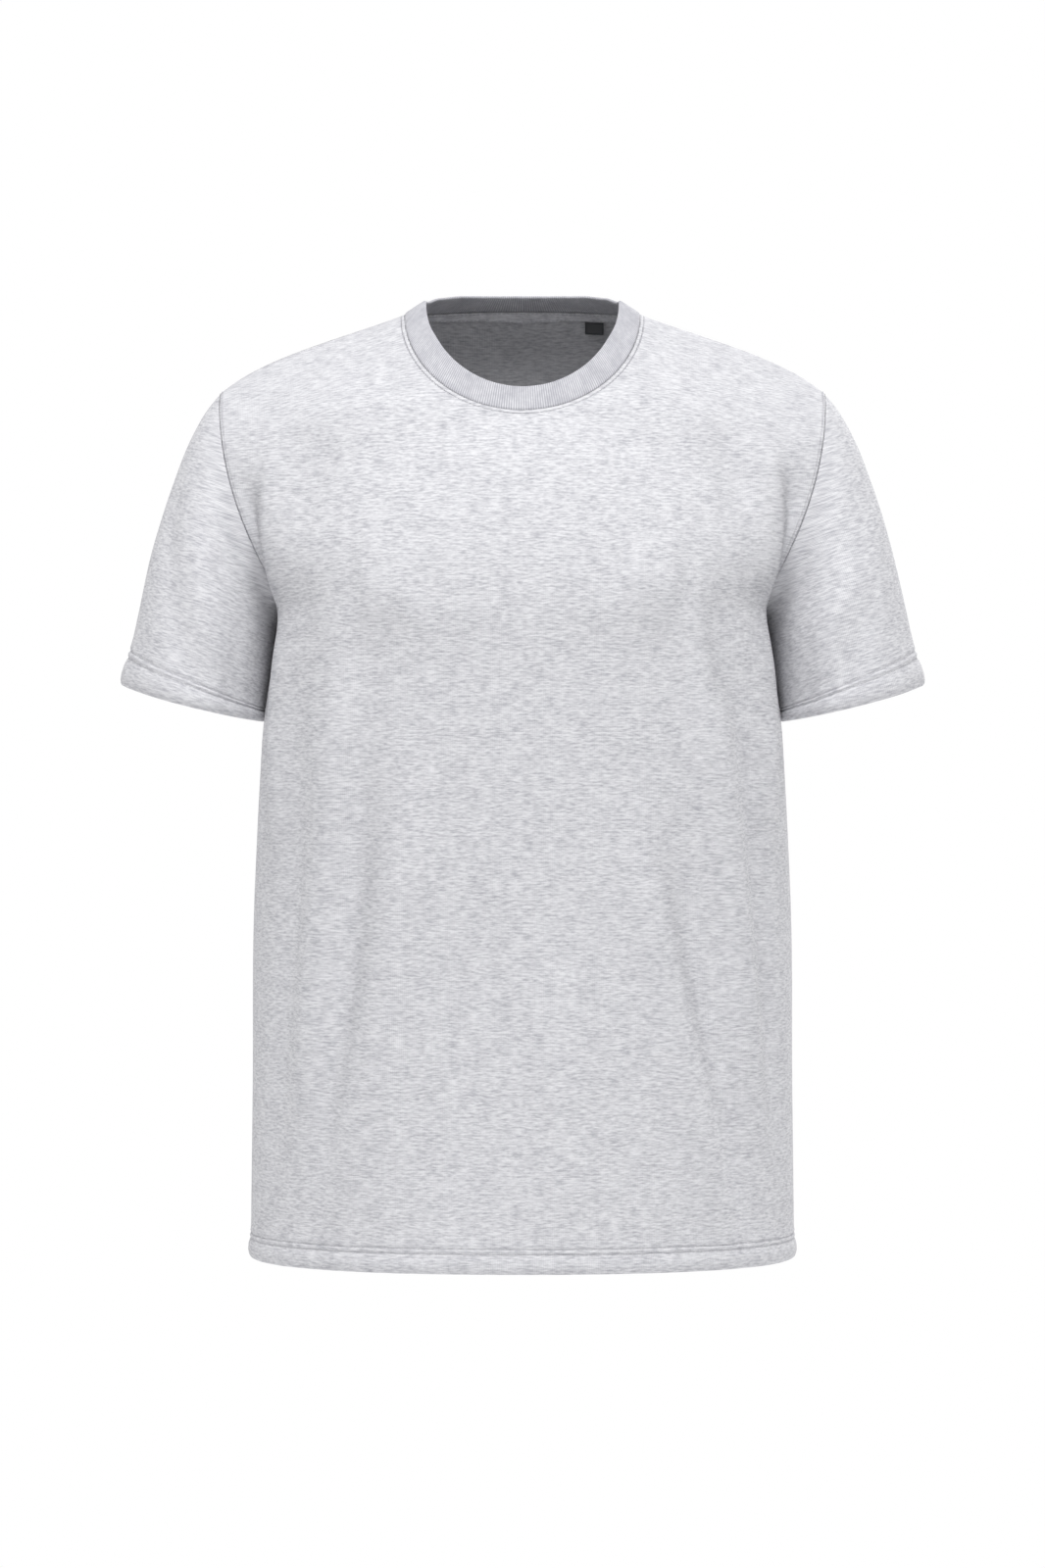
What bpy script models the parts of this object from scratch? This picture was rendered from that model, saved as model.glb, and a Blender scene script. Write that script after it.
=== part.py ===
"""A crew neck T-shirt in size L, filled out as if worn, with no wearer inside.

Run it with: blender --background --python part.py

Metres, +Z up. The chest faces -Y, and the wearer's left arm is at +X. The origin lies midway between
the two neck points, where the shirt hangs from the wearer's shoulders.
Each cut piece is a lofted grid of points at the middle of its cloth. Pieces that are sewn together share
their seam's points and the seam's normals, and each stops half a gap short of it.
"""

import bmesh
import bpy
import numpy as np
from mathutils.bvhtree import BVHTree

# The cloth, in metres.
JERSEY = 0.0014  # heavy single jersey
RIB = 0.0028  # rib knit, folded in two
TAPE = 0.0011
LABEL = 0.0010
SEAM_GAP = 0.0003  # between two pieces that are sewn to each other
LYING_GAP = 0.0005  # between a panel and what lies on it

# The cut, worn.
HEM_Z = -0.727
HEM_DEPTH = 0.020
HEM_FOLD = 0.002  # the hem's bottom edge is rounded over this height
NECK_POINT = (0.0900, 0.0, -0.0030)  # neckline meets shoulder seam
SHOULDER_POINT = (0.232, 0.0, -0.064)  # shoulder seam meets armhole
UNDERARM_POINT = (0.176, 0.005, -0.232)  # side seam meets armhole
TAPE_WIDTH = 0.011
TAPE_FROM_SEAM = 0.0006
LABEL_SIDES = (3.85, 4.4, 5)  # the size label from side to side, in rows of the back neckline
LABEL_LENGTH = 0.0095

# Half of the neck seam and of the neckband's top edge. depth is how far they reach to the front and to
# the back, and drop how far they fall from their sides to the centre line.
NECK_CURVES = dict(
    seam=dict(side_x=0.0900, side_z=-0.0030, front=(0.088, 0.0804), back=(0.080, -0.0120)),
    edge=dict(side_x=0.0740, side_z=0.0110, front=(0.077, 0.0755), back=(0.062, -0.0045)),
)

# Centre lines, seen from the side: height and distance from the shoulder line.
CENTRE_FRONT = (
    dict(z=-0.7270, y=-0.1420),
    dict(z=-0.6400, y=-0.1380),
    dict(z=-0.5200, y=-0.1355),
    dict(z=-0.4000, y=-0.1365),
    dict(z=-0.3100, y=-0.1395),
    dict(z=-0.2320, y=-0.1400),
    dict(z=-0.1900, y=-0.1355),
    dict(z=-0.1500, y=-0.1245),
    dict(z=-0.1150, y=-0.1090),
    dict(z=-0.0834, y=-0.0880),
)
CENTRE_BACK = (
    dict(z=-0.7270, y=0.1220),
    dict(z=-0.6400, y=0.1170),
    dict(z=-0.5200, y=0.1120),
    dict(z=-0.4000, y=0.1130),
    dict(z=-0.3100, y=0.1190),
    dict(z=-0.2320, y=0.1270),
    dict(z=-0.1700, y=0.1310),
    dict(z=-0.1150, y=0.1290),
    dict(z=-0.0700, y=0.1210),
    dict(z=-0.0300, y=0.1060),
    dict(z=0.0090, y=0.0800),
)

# Rings of the body below the armholes. side places the side seam. flat is how far out from the centre
# line the cloth stays flat, and front_turn and back_turn are where it turns to the side. All (x, y).
BODY_RINGS = (
    dict(z=-0.727, side=(0.2085, 0.002), flat=0.134, front_turn=(0.2085, -0.086), back_turn=(0.2085, 0.080)),
    dict(z=-0.600, side=(0.2070, 0.002), flat=0.132, front_turn=(0.2070, -0.084), back_turn=(0.2070, 0.076)),
    dict(z=-0.440, side=(0.2050, 0.003), flat=0.130, front_turn=(0.2070, -0.086), back_turn=(0.2060, 0.076)),
    dict(z=-0.364, side=(0.1990, 0.004), flat=0.128, front_turn=(0.2130, -0.094), back_turn=(0.2090, 0.082)),
    dict(z=-0.318, side=(0.1930, 0.005), flat=0.124, front_turn=(0.2185, -0.098), back_turn=(0.2100, 0.086)),
    dict(z=-0.275, side=(0.1845, 0.005), flat=0.120, front_turn=(0.2185, -0.099), back_turn=(0.2070, 0.088)),
    dict(z=-0.232, side=(0.1760, 0.005), flat=0.118, front_turn=(0.2150, -0.098), back_turn=(0.2000, 0.090)),
)

# Rows of the yoke, from the underarm (at 0) up to the shoulder seam (at 1). inner and outer are the two
# middle points of a Bezier that starts on the centre line or the neckline and ends on the armhole.
FRONT_YOKE = (
    dict(at=0.00, inner=(0.118, -0.1400, -0.232), outer=(0.215, -0.098, -0.232)),
    dict(at=0.20, inner=(0.114, -0.1345, -0.172), outer=(0.206, -0.093, -0.194)),
    dict(at=0.40, inner=(0.078, -0.1000, -0.094), outer=(0.190, -0.079, -0.138)),
    dict(at=0.70, inner=(0.112, -0.0620, -0.062), outer=(0.194, -0.056, -0.084)),
    dict(at=1.00, inner=(0.1380, 0.000, -0.0215), outer=(0.200, 0.000, -0.0355)),
)
BACK_YOKE = (
    dict(at=0.00, inner=(0.118, 0.1270, -0.232), outer=(0.200, 0.090, -0.232)),
    dict(at=0.30, inner=(0.108, 0.1330, -0.130), outer=(0.188, 0.108, -0.165)),
    dict(at=0.60, inner=(0.052, 0.0860, 0.005), outer=(0.178, 0.084, -0.082)),
    dict(at=0.80, inner=(0.110, 0.0620, -0.010), outer=(0.196, 0.048, -0.058)),
    dict(at=1.00, inner=(0.1380, 0.000, -0.0215), outer=(0.200, 0.000, -0.0355)),
)

# Rings round the arm, from the armhole to the cuff. top and under are where the ring crosses the top and
# the underside of the arm, as (x, z). front and back are its reach from middle, and bow is how far its
# front and back stand out along the sleeve.
ARM_RINGS = (
    dict(top=(0.2320, -0.064), under=(0.1760, -0.2320), middle=0.0000, front=0.058, back=0.062, bow=0.0135),
    dict(top=(0.2430, -0.078), under=(0.1850, -0.2360), middle=0.0010, front=0.061, back=0.064, bow=0.0110),
    dict(top=(0.2540, -0.098), under=(0.1890, -0.2450), middle=0.0000, front=0.064, back=0.066, bow=0.0080),
    dict(top=(0.2680, -0.134), under=(0.1914, -0.2600), middle=-0.0025, front=0.066, back=0.068, bow=0.0050),
    dict(top=(0.2830, -0.182), under=(0.1946, -0.2800), middle=-0.0050, front=0.069, back=0.070, bow=0.0025),
    dict(top=(0.3030, -0.266), under=(0.1988, -0.3080), middle=-0.0080, front=0.070, back=0.070, bow=0.0025),
    dict(top=(0.3033, -0.267), under=(0.1989, -0.3090), middle=-0.0080, front=0.070, back=0.070, bow=0.0025),
    dict(top=(0.3080, -0.286), under=(0.1996, -0.3140), middle=-0.0080, front=0.070, back=0.070, bow=0.0030),
    dict(top=(0.3085, -0.288), under=(0.1997, -0.3160), middle=-0.0080, front=0.070, back=0.070, bow=0.0030),
)

# How finely the pieces are faceted.
COLUMNS = 11
BODY_ROWS = 8
CENTRE_ROWS = 8  # rows of the yoke that start on the centre line
NECK_ROWS = 11  # rows of the yoke that start on the neckline
YOKE_ROWS = CENTRE_ROWS + NECK_ROWS
HEM_ROWS = 3
UNDERARM = HEM_ROWS + BODY_ROWS  # the row that ends at the underarm
NECK = UNDERARM + CENTRE_ROWS  # the row that starts at the neckline's centre
SAMPLES = 300


# Curves and tables -----------------------------------------------------------------------------------


def column(table, name):
    return [row[name] for row in table]


def through(knots, values, at):
    """A smooth curve through values at knots, read at the places in at."""
    knots, values, at = (np.asarray(a, float) for a in (knots, values, at))
    slopes = np.gradient(values, knots, axis=0)
    i = np.clip(np.searchsorted(knots, at) - 1, 0, len(knots) - 2)
    step = knots[i + 1] - knots[i]
    t = (at - knots[i]) / step
    t, step = (a.reshape(a.shape + (1,) * (values.ndim - 1)) for a in (t, step))
    return (
        (1 + 2 * t) * (1 - t) ** 2 * values[i]
        + t * (1 - t) ** 2 * step * slopes[i]
        + t**2 * (3 - 2 * t) * values[i + 1]
        + t**2 * (t - 1) * step * slopes[i + 1]
    )


def evenly(points, count):
    """count + 1 points, evenly spaced along the line through points."""
    lengths = np.linalg.norm(np.diff(points, axis=0), axis=1)
    along = np.concatenate([[0], np.cumsum(lengths)])
    at = np.linspace(0, along[-1], count + 1)
    return np.stack([np.interp(at, along, points[:, k]) for k in range(3)], axis=1)


def bezier(start, inner, outer, end, count):
    """count + 1 points on the cubic Bezier of these four points."""
    t = np.linspace(0, 1, count + 1)[:, None]
    start, inner, outer, end = (np.asarray(p, float) for p in (start, inner, outer, end))
    return (1 - t) ** 3 * start + 3 * t * (1 - t) ** 2 * inner + 3 * t**2 * (1 - t) * outer + t**3 * end


def unit(vectors):
    return vectors / np.linalg.norm(vectors, axis=-1, keepdims=True)


# Seam lines ------------------------------------------------------------------------------------------


def neck_curve(name, front):
    """Half the neck seam or half the neckband's top edge, from the centre line to the shoulder seam."""
    curve = NECK_CURVES[name]
    depth, drop = curve["front" if front else "back"]
    angle = np.linspace(np.pi / 2, 0, SAMPLES)
    along = np.sin(angle)
    y = (-depth if front else depth) * along ** (0.6 if front else 0.8)
    return np.stack([curve["side_x"] * np.cos(angle), y, curve["side_z"] - drop * along], axis=1)


def arm_ring(top, under, middle, front, back, bow, angle):
    """Points of a ring round the arm. The angle is 0 on top of the arm, 90 degrees in front and 180 under it."""
    centre, half = (np.add(top, under) / 2, np.subtract(top, under) / 2)
    sleeve_way = unit(np.array([half[1], -half[0]]))
    level, depth = np.cos(angle), np.sin(angle)
    flat = centre + np.outer(level, half) + np.outer(bow * depth**2, sleeve_way)
    y = middle + UNDERARM_POINT[1] * (1 - level) / 2 - np.where(depth > 0, front, back) * depth
    return np.stack([flat[:, 0], y, flat[:, 1]], axis=1)


def armhole(front):
    """The armhole's front or back half, from the underarm up to the shoulder, a point for each yoke row."""
    angle = np.linspace(np.pi, 0, SAMPLES) * (1 if front else -1)
    return evenly(arm_ring(**ARM_RINGS[0], angle=angle), YOKE_ROWS)


# The pieces' grids -----------------------------------------------------------------------------------


def body_rows(front):
    """Half a panel's rows, from the hem up to the shoulder seam. Each runs from the centre line to the side."""
    centre = CENTRE_FRONT if front else CENTRE_BACK
    heights = column(BODY_RINGS, "z")
    hem_top = HEM_Z + HEM_DEPTH
    levels = [HEM_Z, HEM_Z + HEM_FOLD, hem_top, *np.linspace(hem_top + 0.001, UNDERARM_POINT[2], BODY_ROWS, endpoint=False)]
    rows = []
    for z in levels:
        y = float(through(column(centre, "z"), column(centre, "y"), z))
        flat = float(through(heights, column(BODY_RINGS, "flat"), z))
        turn = through(heights, column(BODY_RINGS, "front_turn" if front else "back_turn"), z)
        side = through(heights, column(BODY_RINGS, "side"), z)
        rows.append(bezier((0, y, z), (flat, y, z), (*turn, z), (*side, z), COLUMNS))
    return np.array(rows + yoke_rows(front))


def yoke_rows(front):
    yoke = FRONT_YOKE if front else BACK_YOKE
    centre = CENTRE_FRONT if front else CENTRE_BACK
    z = np.linspace(UNDERARM_POINT[2], centre[-1]["z"], SAMPLES)
    y = through(column(centre, "z"), column(centre, "y"), z)
    centre_line = evenly(np.stack([0 * z, y, z], axis=1), CENTRE_ROWS)
    neckline = evenly(neck_curve("seam", front), NECK_ROWS)
    centre_line[-1] = neckline[0]
    starts = np.concatenate([centre_line, neckline[1:]])
    at_neck = yoke[2]["at"]
    at = np.concatenate([np.linspace(0, at_neck, CENTRE_ROWS + 1), np.linspace(at_neck, 1, NECK_ROWS + 1)[1:]])
    inners = through(column(yoke, "at"), column(yoke, "inner"), at)
    outers = through(column(yoke, "at"), column(yoke, "outer"), at)
    return [bezier(*points, COLUMNS) for points in zip(starts, inners, outers, armhole(front))]


def sleeve_rows():
    """A sleeve's rings. Each starts on top of the arm and goes round by the front."""
    start = np.concatenate([armhole(True)[::-1], armhole(False)[1:-1]])
    angle = np.concatenate([np.linspace(0, np.pi, YOKE_ROWS + 1), np.linspace(np.pi, 2 * np.pi, YOKE_ROWS + 1)[1:-1]])
    return np.array([start] + [arm_ring(**ring, angle=angle) for ring in ARM_RINGS[1:]])


def band_rows():
    """Half the neckband's rows, from its seam to its folded edge. Each runs from centre front to centre back."""
    seam, edge = (
        np.concatenate([evenly(neck_curve(name, True), NECK_ROWS), evenly(neck_curve(name, False), NECK_ROWS)[-2::-1]])
        for name in ("seam", "edge")
    )
    return np.array([seam + (edge - seam) * part for part in (0, 0.33, 0.66, 0.93, 1)])


def normals(rows, closed=False):
    """The grid's unit normals. They point outwards where rows climb and columns run anticlockwise."""
    if closed:
        along = np.roll(rows, -1, axis=1) - np.roll(rows, 1, axis=1)
    else:
        along = np.gradient(rows, axis=1)
    return unit(np.cross(along, np.gradient(rows, axis=0)))


class Piece:
    """A grid with its normals. shift moves a seam's points back from the seam."""

    def __init__(self, rows, closed=False, inside_out=False):
        self.rows = rows
        self.closed = closed
        self.normals = normals(rows, closed) * (-1 if inside_out else 1)
        self.shift = np.zeros_like(rows)

    def centre_line(self, *columns):
        for c in columns:
            self.normals[:, c, 0] = 0
        self.normals = unit(self.normals)


def seam(first, first_at, second, second_at):
    """Sews two pieces. The points at first_at and second_at are the same, in the same order."""
    points = first.rows[first_at]
    tangent = unit(np.gradient(points, axis=0))
    tangent[np.abs(points[:, 0]) < 0.00001] = (1, 0, 0)
    shared = first.normals[first_at] + second.normals[second_at]
    shared = unit(shared - tangent * (shared * tangent).sum(axis=1, keepdims=True))
    first.normals[first_at] = second.normals[second_at] = shared
    across = np.cross(tangent, shared) * SEAM_GAP / 2
    neighbour = first.rows.mean(axis=(0, 1)) - points
    across *= np.sign((across * neighbour).sum())
    first.shift[first_at] += across
    second.shift[second_at] -= across


def corner(*spots):
    """Gives the pieces that meet at a corner the same normal there."""
    shared = unit(sum(piece.normals[at] for piece, at in spots))
    for piece, at in spots:
        piece.normals[at] = shared


# Meshes ----------------------------------------------------------------------------------------------


def material(name, colour, roughness):
    made = bpy.data.materials.new(name)
    made.use_nodes = True
    shader = made.node_tree.nodes["Principled BSDF"]
    shader.inputs["Base Color"].default_value = (*colour, 1)
    shader.inputs["Roughness"].default_value = roughness
    return made


def solid(name, outer, inner, finish, rims, closed=False, mirrored=False):
    """A solid between two grids of points. rims are the lists of grid places where an edge shows its thickness."""
    count, across = outer.shape[:2]
    place = np.arange(count * across).reshape(count, across)
    wrapped = np.concatenate([place, place[:, :1]], axis=1) if closed else place
    squares = [
        (wrapped[r, c], wrapped[r, c + 1], wrapped[r + 1, c + 1], wrapped[r + 1, c])
        for r in range(count - 1)
        for c in range(wrapped.shape[1] - 1)
    ]
    layer = count * across
    faces = squares + [[v + layer for v in square] for square in squares]
    for rim in rims:
        edge = [wrapped[at] for at in rim]
        faces += [(a, b, b + layer, a + layer) for a, b in zip(edge, edge[1:])]
    points = np.concatenate([outer.reshape(-1, 3), inner.reshape(-1, 3)])
    if mirrored:
        faces = faces + [[v + len(points) for v in face] for face in faces]
        points = np.concatenate([points, points * (-1, 1, 1)])
    built = bmesh.new()
    corners = [built.verts.new(p) for p in points.tolist()]
    for face in faces:
        built.faces.new([corners[v] for v in face])
    bmesh.ops.remove_doubles(built, verts=built.verts, dist=0.00001)
    bmesh.ops.recalc_face_normals(built, faces=built.faces)
    mesh = bpy.data.meshes.new(name)
    built.to_mesh(mesh)
    built.free()
    mesh.materials.append(finish)
    made = bpy.data.objects.new(name, mesh)
    shirt.objects.link(made)
    return made


def cloth(name, piece, outward, inward, finish, rims, mirrored=False):
    """A piece as a solid. outward and inward are each row's distances from the grid to the two faces."""
    outward, inward = (np.asarray(d, float)[:, None, None] for d in (outward, inward))
    points = piece.rows + piece.shift
    outer, inner = points + outward * piece.normals, points - inward * piece.normals
    return solid(name, outer, inner, finish, rims, piece.closed, mirrored)


def panel(name, piece, finish):
    rows, across = piece.rows.shape[:2]
    half = JERSEY / 2
    outward = [0.6 * half] + [half] * (rows - 1)
    inward = [2.2 * half, 3 * half, 3 * half] + [half] * (rows - 3)
    boundary = [(0, c) for c in range(across)] + [(r, across - 1) for r in range(1, rows)]
    boundary += [(rows - 1, c) for c in range(across - 2, -1, -1)] + [(r, 0) for r in range(rows - 2, NECK - 1, -1)]
    return cloth(name, piece, outward, inward, finish, [boundary], mirrored=True)


def sleeve(name, piece, finish):
    rows, across = piece.rows.shape[:2]
    half = JERSEY / 2
    outward = [half] * (rows - 1) + [0.6 * half]
    inward = [half] * (rows - 3) + [3 * half, 3 * half, 2.2 * half]
    rims = [[(r, c) for c in range(across + 1)] for r in (0, rows - 1)]
    return cloth(name, piece, outward, inward, finish, rims)


def flipped(made, name):
    """The same piece for the other side of the body."""
    mesh = made.data.copy()
    for vertex in mesh.vertices:
        vertex.co.x = -vertex.co.x
    mesh.flip_normals()
    other = bpy.data.objects.new(name, mesh)
    shirt.objects.link(other)
    return other


def lying_inside(name, piece, places, distances, thickness, finish, mirrored=False, hangs=False):
    """A strip on the inside of a panel, at these rows of its neckline and these distances below it.

    A strip that hangs starts on the tape's face, at its first distance, and goes straight down.
    """
    inner = piece.rows + piece.shift - JERSEY / 2 * piece.normals
    across = inner.shape[1]
    squares = [
        (r * across + c, r * across + c + 1, (r + 1) * across + c + 1, (r + 1) * across + c)
        for r in range(len(inner) - 1)
        for c in range(across - 1)
    ]
    points = inner.reshape(-1, 3)
    if mirrored:
        squares = squares + [tuple(v + len(points) for v in square) for square in squares]
        points = np.concatenate([points, points * (-1, 1, 1)])
    surface = BVHTree.FromPolygons(points.tolist(), squares)
    neckline, outwards = inner[NECK:, 0], piece.normals[NECK:, 0]
    tangent = unit(np.gradient(neckline, axis=0))
    tangent[0] = (1, 0, 0)
    down = np.cross(tangent, outwards)
    down *= -np.sign(down[:, 2:])
    under, upper = [], []
    for place in places:
        start, way = (
            np.array([np.interp(place, range(NECK_ROWS + 1), line[:, k]) for k in range(3)]) for line in (neckline, down)
        )
        spots = [surface.find_nearest((start + way * d).tolist())[:2] for d in distances]
        outside = np.array([np.interp(place, range(NECK_ROWS + 1), outwards[:, k]) for k in range(3)])
        inwards = unit(sum(-np.array(normal) * np.sign(np.dot(normal, outside)) for _, normal in spots))
        if mirrored and place == 0:
            inwards = unit(inwards * (0, 1, 1))
        spots = np.array([spot for spot, _ in spots])
        if hangs:
            spots = spots[0] + (TAPE + 2 * SEAM_GAP) * inwards - np.outer(np.subtract(distances, distances[0]), (0, 0, 1))
            inwards = unit(inwards * (1, 1, 0))
        if mirrored and place == 0:
            spots[:, 0] = 0
        under.append(spots + LYING_GAP * inwards)
        upper.append(spots + (LYING_GAP + thickness) * inwards)
    count, across = len(places), len(distances)
    boundary = [(r, 0) for r in range(count)] + [(count - 1, c) for c in range(1, across)]
    boundary += [(r, across - 1) for r in range(count - 2, -1, -1)]
    if not mirrored:
        boundary += [(0, c) for c in range(across - 2, -1, -1)]
    return solid(name, np.array(under), np.array(upper), finish, [boundary], mirrored=mirrored)


def neckband(name, piece, finish):
    half = RIB / 2
    profile = [half, half, half, 0.85 * half, 0.35 * half]
    across = piece.rows.shape[1]
    rims = [[(r, c) for c in range(across)] for r in (0, len(profile) - 1)]
    return cloth(name, piece, profile, profile, finish, rims, mirrored=True)


shirt = bpy.data.collections.new("Crew neck T-shirt")


def main():
    for old in list(bpy.data.objects):
        bpy.data.objects.remove(old)
    bpy.context.scene.collection.children.link(shirt)
    jersey = material("Jersey", (0.70, 0.70, 0.73), 0.9)
    rib = material("Rib knit", (0.66, 0.66, 0.69), 0.9)
    woven = material("Woven label", (0.05, 0.05, 0.06), 0.7)
    front, back = Piece(body_rows(True)), Piece(body_rows(False), inside_out=True)
    arm, band = Piece(sleeve_rows(), closed=True), Piece(band_rows())
    front.centre_line(0)
    back.centre_line(0)
    band.centre_line(0, -1)
    last = UNDERARM + YOKE_ROWS
    below, top = (slice(0, UNDERARM + 1), -1), (last, slice(None))
    side, neck = (slice(UNDERARM, last + 1), -1), (slice(NECK, last + 1), 0)
    under_to_top = np.arange(YOKE_ROWS, -1, -1)
    back_under_to_top = np.arange(YOKE_ROWS, 2 * YOKE_ROWS + 1) % (2 * YOKE_ROWS)
    seam(front, below, back, below)
    seam(front, top, back, top)
    seam(front, side, arm, (0, under_to_top))
    seam(back, side, arm, (0, back_under_to_top))
    seam(front, neck, band, (0, np.arange(NECK_ROWS + 1)))
    seam(back, neck, band, (0, np.arange(2 * NECK_ROWS, NECK_ROWS - 1, -1)))
    corner((front, (UNDERARM, -1)), (back, (UNDERARM, -1)), (arm, (0, YOKE_ROWS)))
    corner((front, (last, -1)), (back, (last, -1)), (arm, (0, 0)))
    corner((front, (last, 0)), (back, (last, 0)), (band, (0, NECK_ROWS)))
    panel("front", front, jersey)
    panel("back", back, jersey)
    left = sleeve("sleeve_left", arm, jersey)
    flipped(left, "sleeve_right")
    neckband("neckband", band, rib)
    tape_edges = np.array([0, 0.5, 1]) * TAPE_WIDTH + TAPE_FROM_SEAM
    lying_inside("neck_tape", back, range(NECK_ROWS + 1), tape_edges, TAPE, jersey, mirrored=True)
    hangs = np.array([0, 0.5, 1]) * LABEL_LENGTH + TAPE_FROM_SEAM + TAPE_WIDTH + SEAM_GAP
    lying_inside("size_label", back, LABEL_SIDES, hangs, LABEL, woven, hangs=True)


main()
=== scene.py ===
"""A crew neck T-shirt in heather grey jersey, filled out as if worn, with no wearer inside."""
import math

import bmesh
import bpy
import numpy as np
from mathutils.bvhtree import BVHTree
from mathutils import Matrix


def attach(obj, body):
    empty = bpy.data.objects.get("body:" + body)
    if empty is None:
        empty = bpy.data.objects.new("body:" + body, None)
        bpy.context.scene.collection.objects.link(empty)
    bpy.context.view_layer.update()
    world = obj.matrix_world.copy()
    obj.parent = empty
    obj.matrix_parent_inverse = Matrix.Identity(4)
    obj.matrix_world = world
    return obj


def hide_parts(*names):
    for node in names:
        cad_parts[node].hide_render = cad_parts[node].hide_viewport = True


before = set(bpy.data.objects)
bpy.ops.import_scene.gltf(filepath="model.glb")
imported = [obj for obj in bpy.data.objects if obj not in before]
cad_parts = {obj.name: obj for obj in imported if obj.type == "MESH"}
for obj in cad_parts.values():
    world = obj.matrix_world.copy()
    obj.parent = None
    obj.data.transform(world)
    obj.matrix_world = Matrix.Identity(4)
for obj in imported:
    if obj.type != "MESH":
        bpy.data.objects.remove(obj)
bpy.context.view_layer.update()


# ---- Front and back panels ---------------------------------------------------------------------------
# Two cut pieces of heavy single jersey, sewn together down the sides and across the shoulders. The
# hem is turned up once and coverstitched with two needles. The shirt hangs from the shoulders, so
# the cloth falls in long soft folds from the chest, and rolls forward in front of each armhole.

JERSEY = 0.0014
HEM_Z = -0.727
UNDERARM_POINT = (0.176, 0.005, -0.232)
TOUCH = 0.00006  # half the gap that is left between two sewn pieces
WELD = 0.000002  # points nearer than this are one

CENTRE_FRONT = (
    dict(z=-0.7270, y=-0.1420),
    dict(z=-0.6400, y=-0.1380),
    dict(z=-0.5200, y=-0.1355),
    dict(z=-0.4000, y=-0.1365),
    dict(z=-0.3100, y=-0.1395),
    dict(z=-0.2320, y=-0.1400),
    dict(z=-0.1900, y=-0.1355),
    dict(z=-0.1500, y=-0.1245),
    dict(z=-0.1150, y=-0.1090),
    dict(z=-0.0834, y=-0.0880),
)
CENTRE_BACK = (
    dict(z=-0.7270, y=0.1220),
    dict(z=-0.6400, y=0.1170),
    dict(z=-0.5200, y=0.1120),
    dict(z=-0.4000, y=0.1130),
    dict(z=-0.3100, y=0.1190),
    dict(z=-0.2320, y=0.1270),
    dict(z=-0.1700, y=0.1310),
    dict(z=-0.1150, y=0.1290),
    dict(z=-0.0700, y=0.1210),
    dict(z=-0.0300, y=0.1060),
    dict(z=0.0090, y=0.0800),
)
# Rings of the body below the armholes. side is the side seam, flat how far out the cloth stays flat,
# and the turns are where it goes round to the side. All (x, y).
BODY_RINGS = (
    dict(z=-0.727, side=(0.2085, 0.002), flat=0.134, front_turn=(0.2085, -0.086), back_turn=(0.2085, 0.080)),
    dict(z=-0.600, side=(0.2070, 0.002), flat=0.132, front_turn=(0.2070, -0.084), back_turn=(0.2070, 0.076)),
    dict(z=-0.440, side=(0.2050, 0.003), flat=0.130, front_turn=(0.2070, -0.086), back_turn=(0.2060, 0.076)),
    dict(z=-0.364, side=(0.1990, 0.004), flat=0.128, front_turn=(0.2130, -0.094), back_turn=(0.2090, 0.082)),
    dict(z=-0.318, side=(0.1930, 0.005), flat=0.124, front_turn=(0.2185, -0.098), back_turn=(0.2100, 0.086)),
    dict(z=-0.275, side=(0.1845, 0.005), flat=0.120, front_turn=(0.2185, -0.099), back_turn=(0.2070, 0.088)),
    dict(z=-0.232, side=(0.1760, 0.005), flat=0.118, front_turn=(0.2150, -0.098), back_turn=(0.2000, 0.090)),
)
# Rows of the yoke, from the underarm (at 0) to the shoulder seam (at 1): the two middle points of a
# Bezier that starts on the centre line or the neckline and ends on the armhole.
FRONT_YOKE = (
    dict(at=0.00, inner=(0.118, -0.1400, -0.232), outer=(0.215, -0.098, -0.232)),
    dict(at=0.20, inner=(0.114, -0.1345, -0.172), outer=(0.206, -0.093, -0.194)),
    dict(at=0.40, inner=(0.078, -0.1000, -0.094), outer=(0.190, -0.079, -0.138)),
    dict(at=0.70, inner=(0.112, -0.0620, -0.062), outer=(0.194, -0.056, -0.084)),
    dict(at=1.00, inner=(0.1380, 0.000, -0.0215), outer=(0.200, 0.000, -0.0355)),
)
BACK_YOKE = (
    dict(at=0.00, inner=(0.118, 0.1270, -0.232), outer=(0.200, 0.090, -0.232)),
    dict(at=0.30, inner=(0.108, 0.1330, -0.130), outer=(0.188, 0.108, -0.165)),
    dict(at=0.60, inner=(0.052, 0.0860, 0.005), outer=(0.178, 0.084, -0.082)),
    dict(at=0.80, inner=(0.110, 0.0620, -0.010), outer=(0.196, 0.048, -0.058)),
    dict(at=1.00, inner=(0.1380, 0.000, -0.0215), outer=(0.200, 0.000, -0.0355)),
)
NECK_CURVES = dict(
    seam=dict(side_x=0.0900, side_z=-0.0030, front=(0.088, 0.0804), back=(0.080, -0.0120)),
    edge=dict(side_x=0.0740, side_z=0.0110, front=(0.077, 0.0755), back=(0.062, -0.0045)),
)
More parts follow.
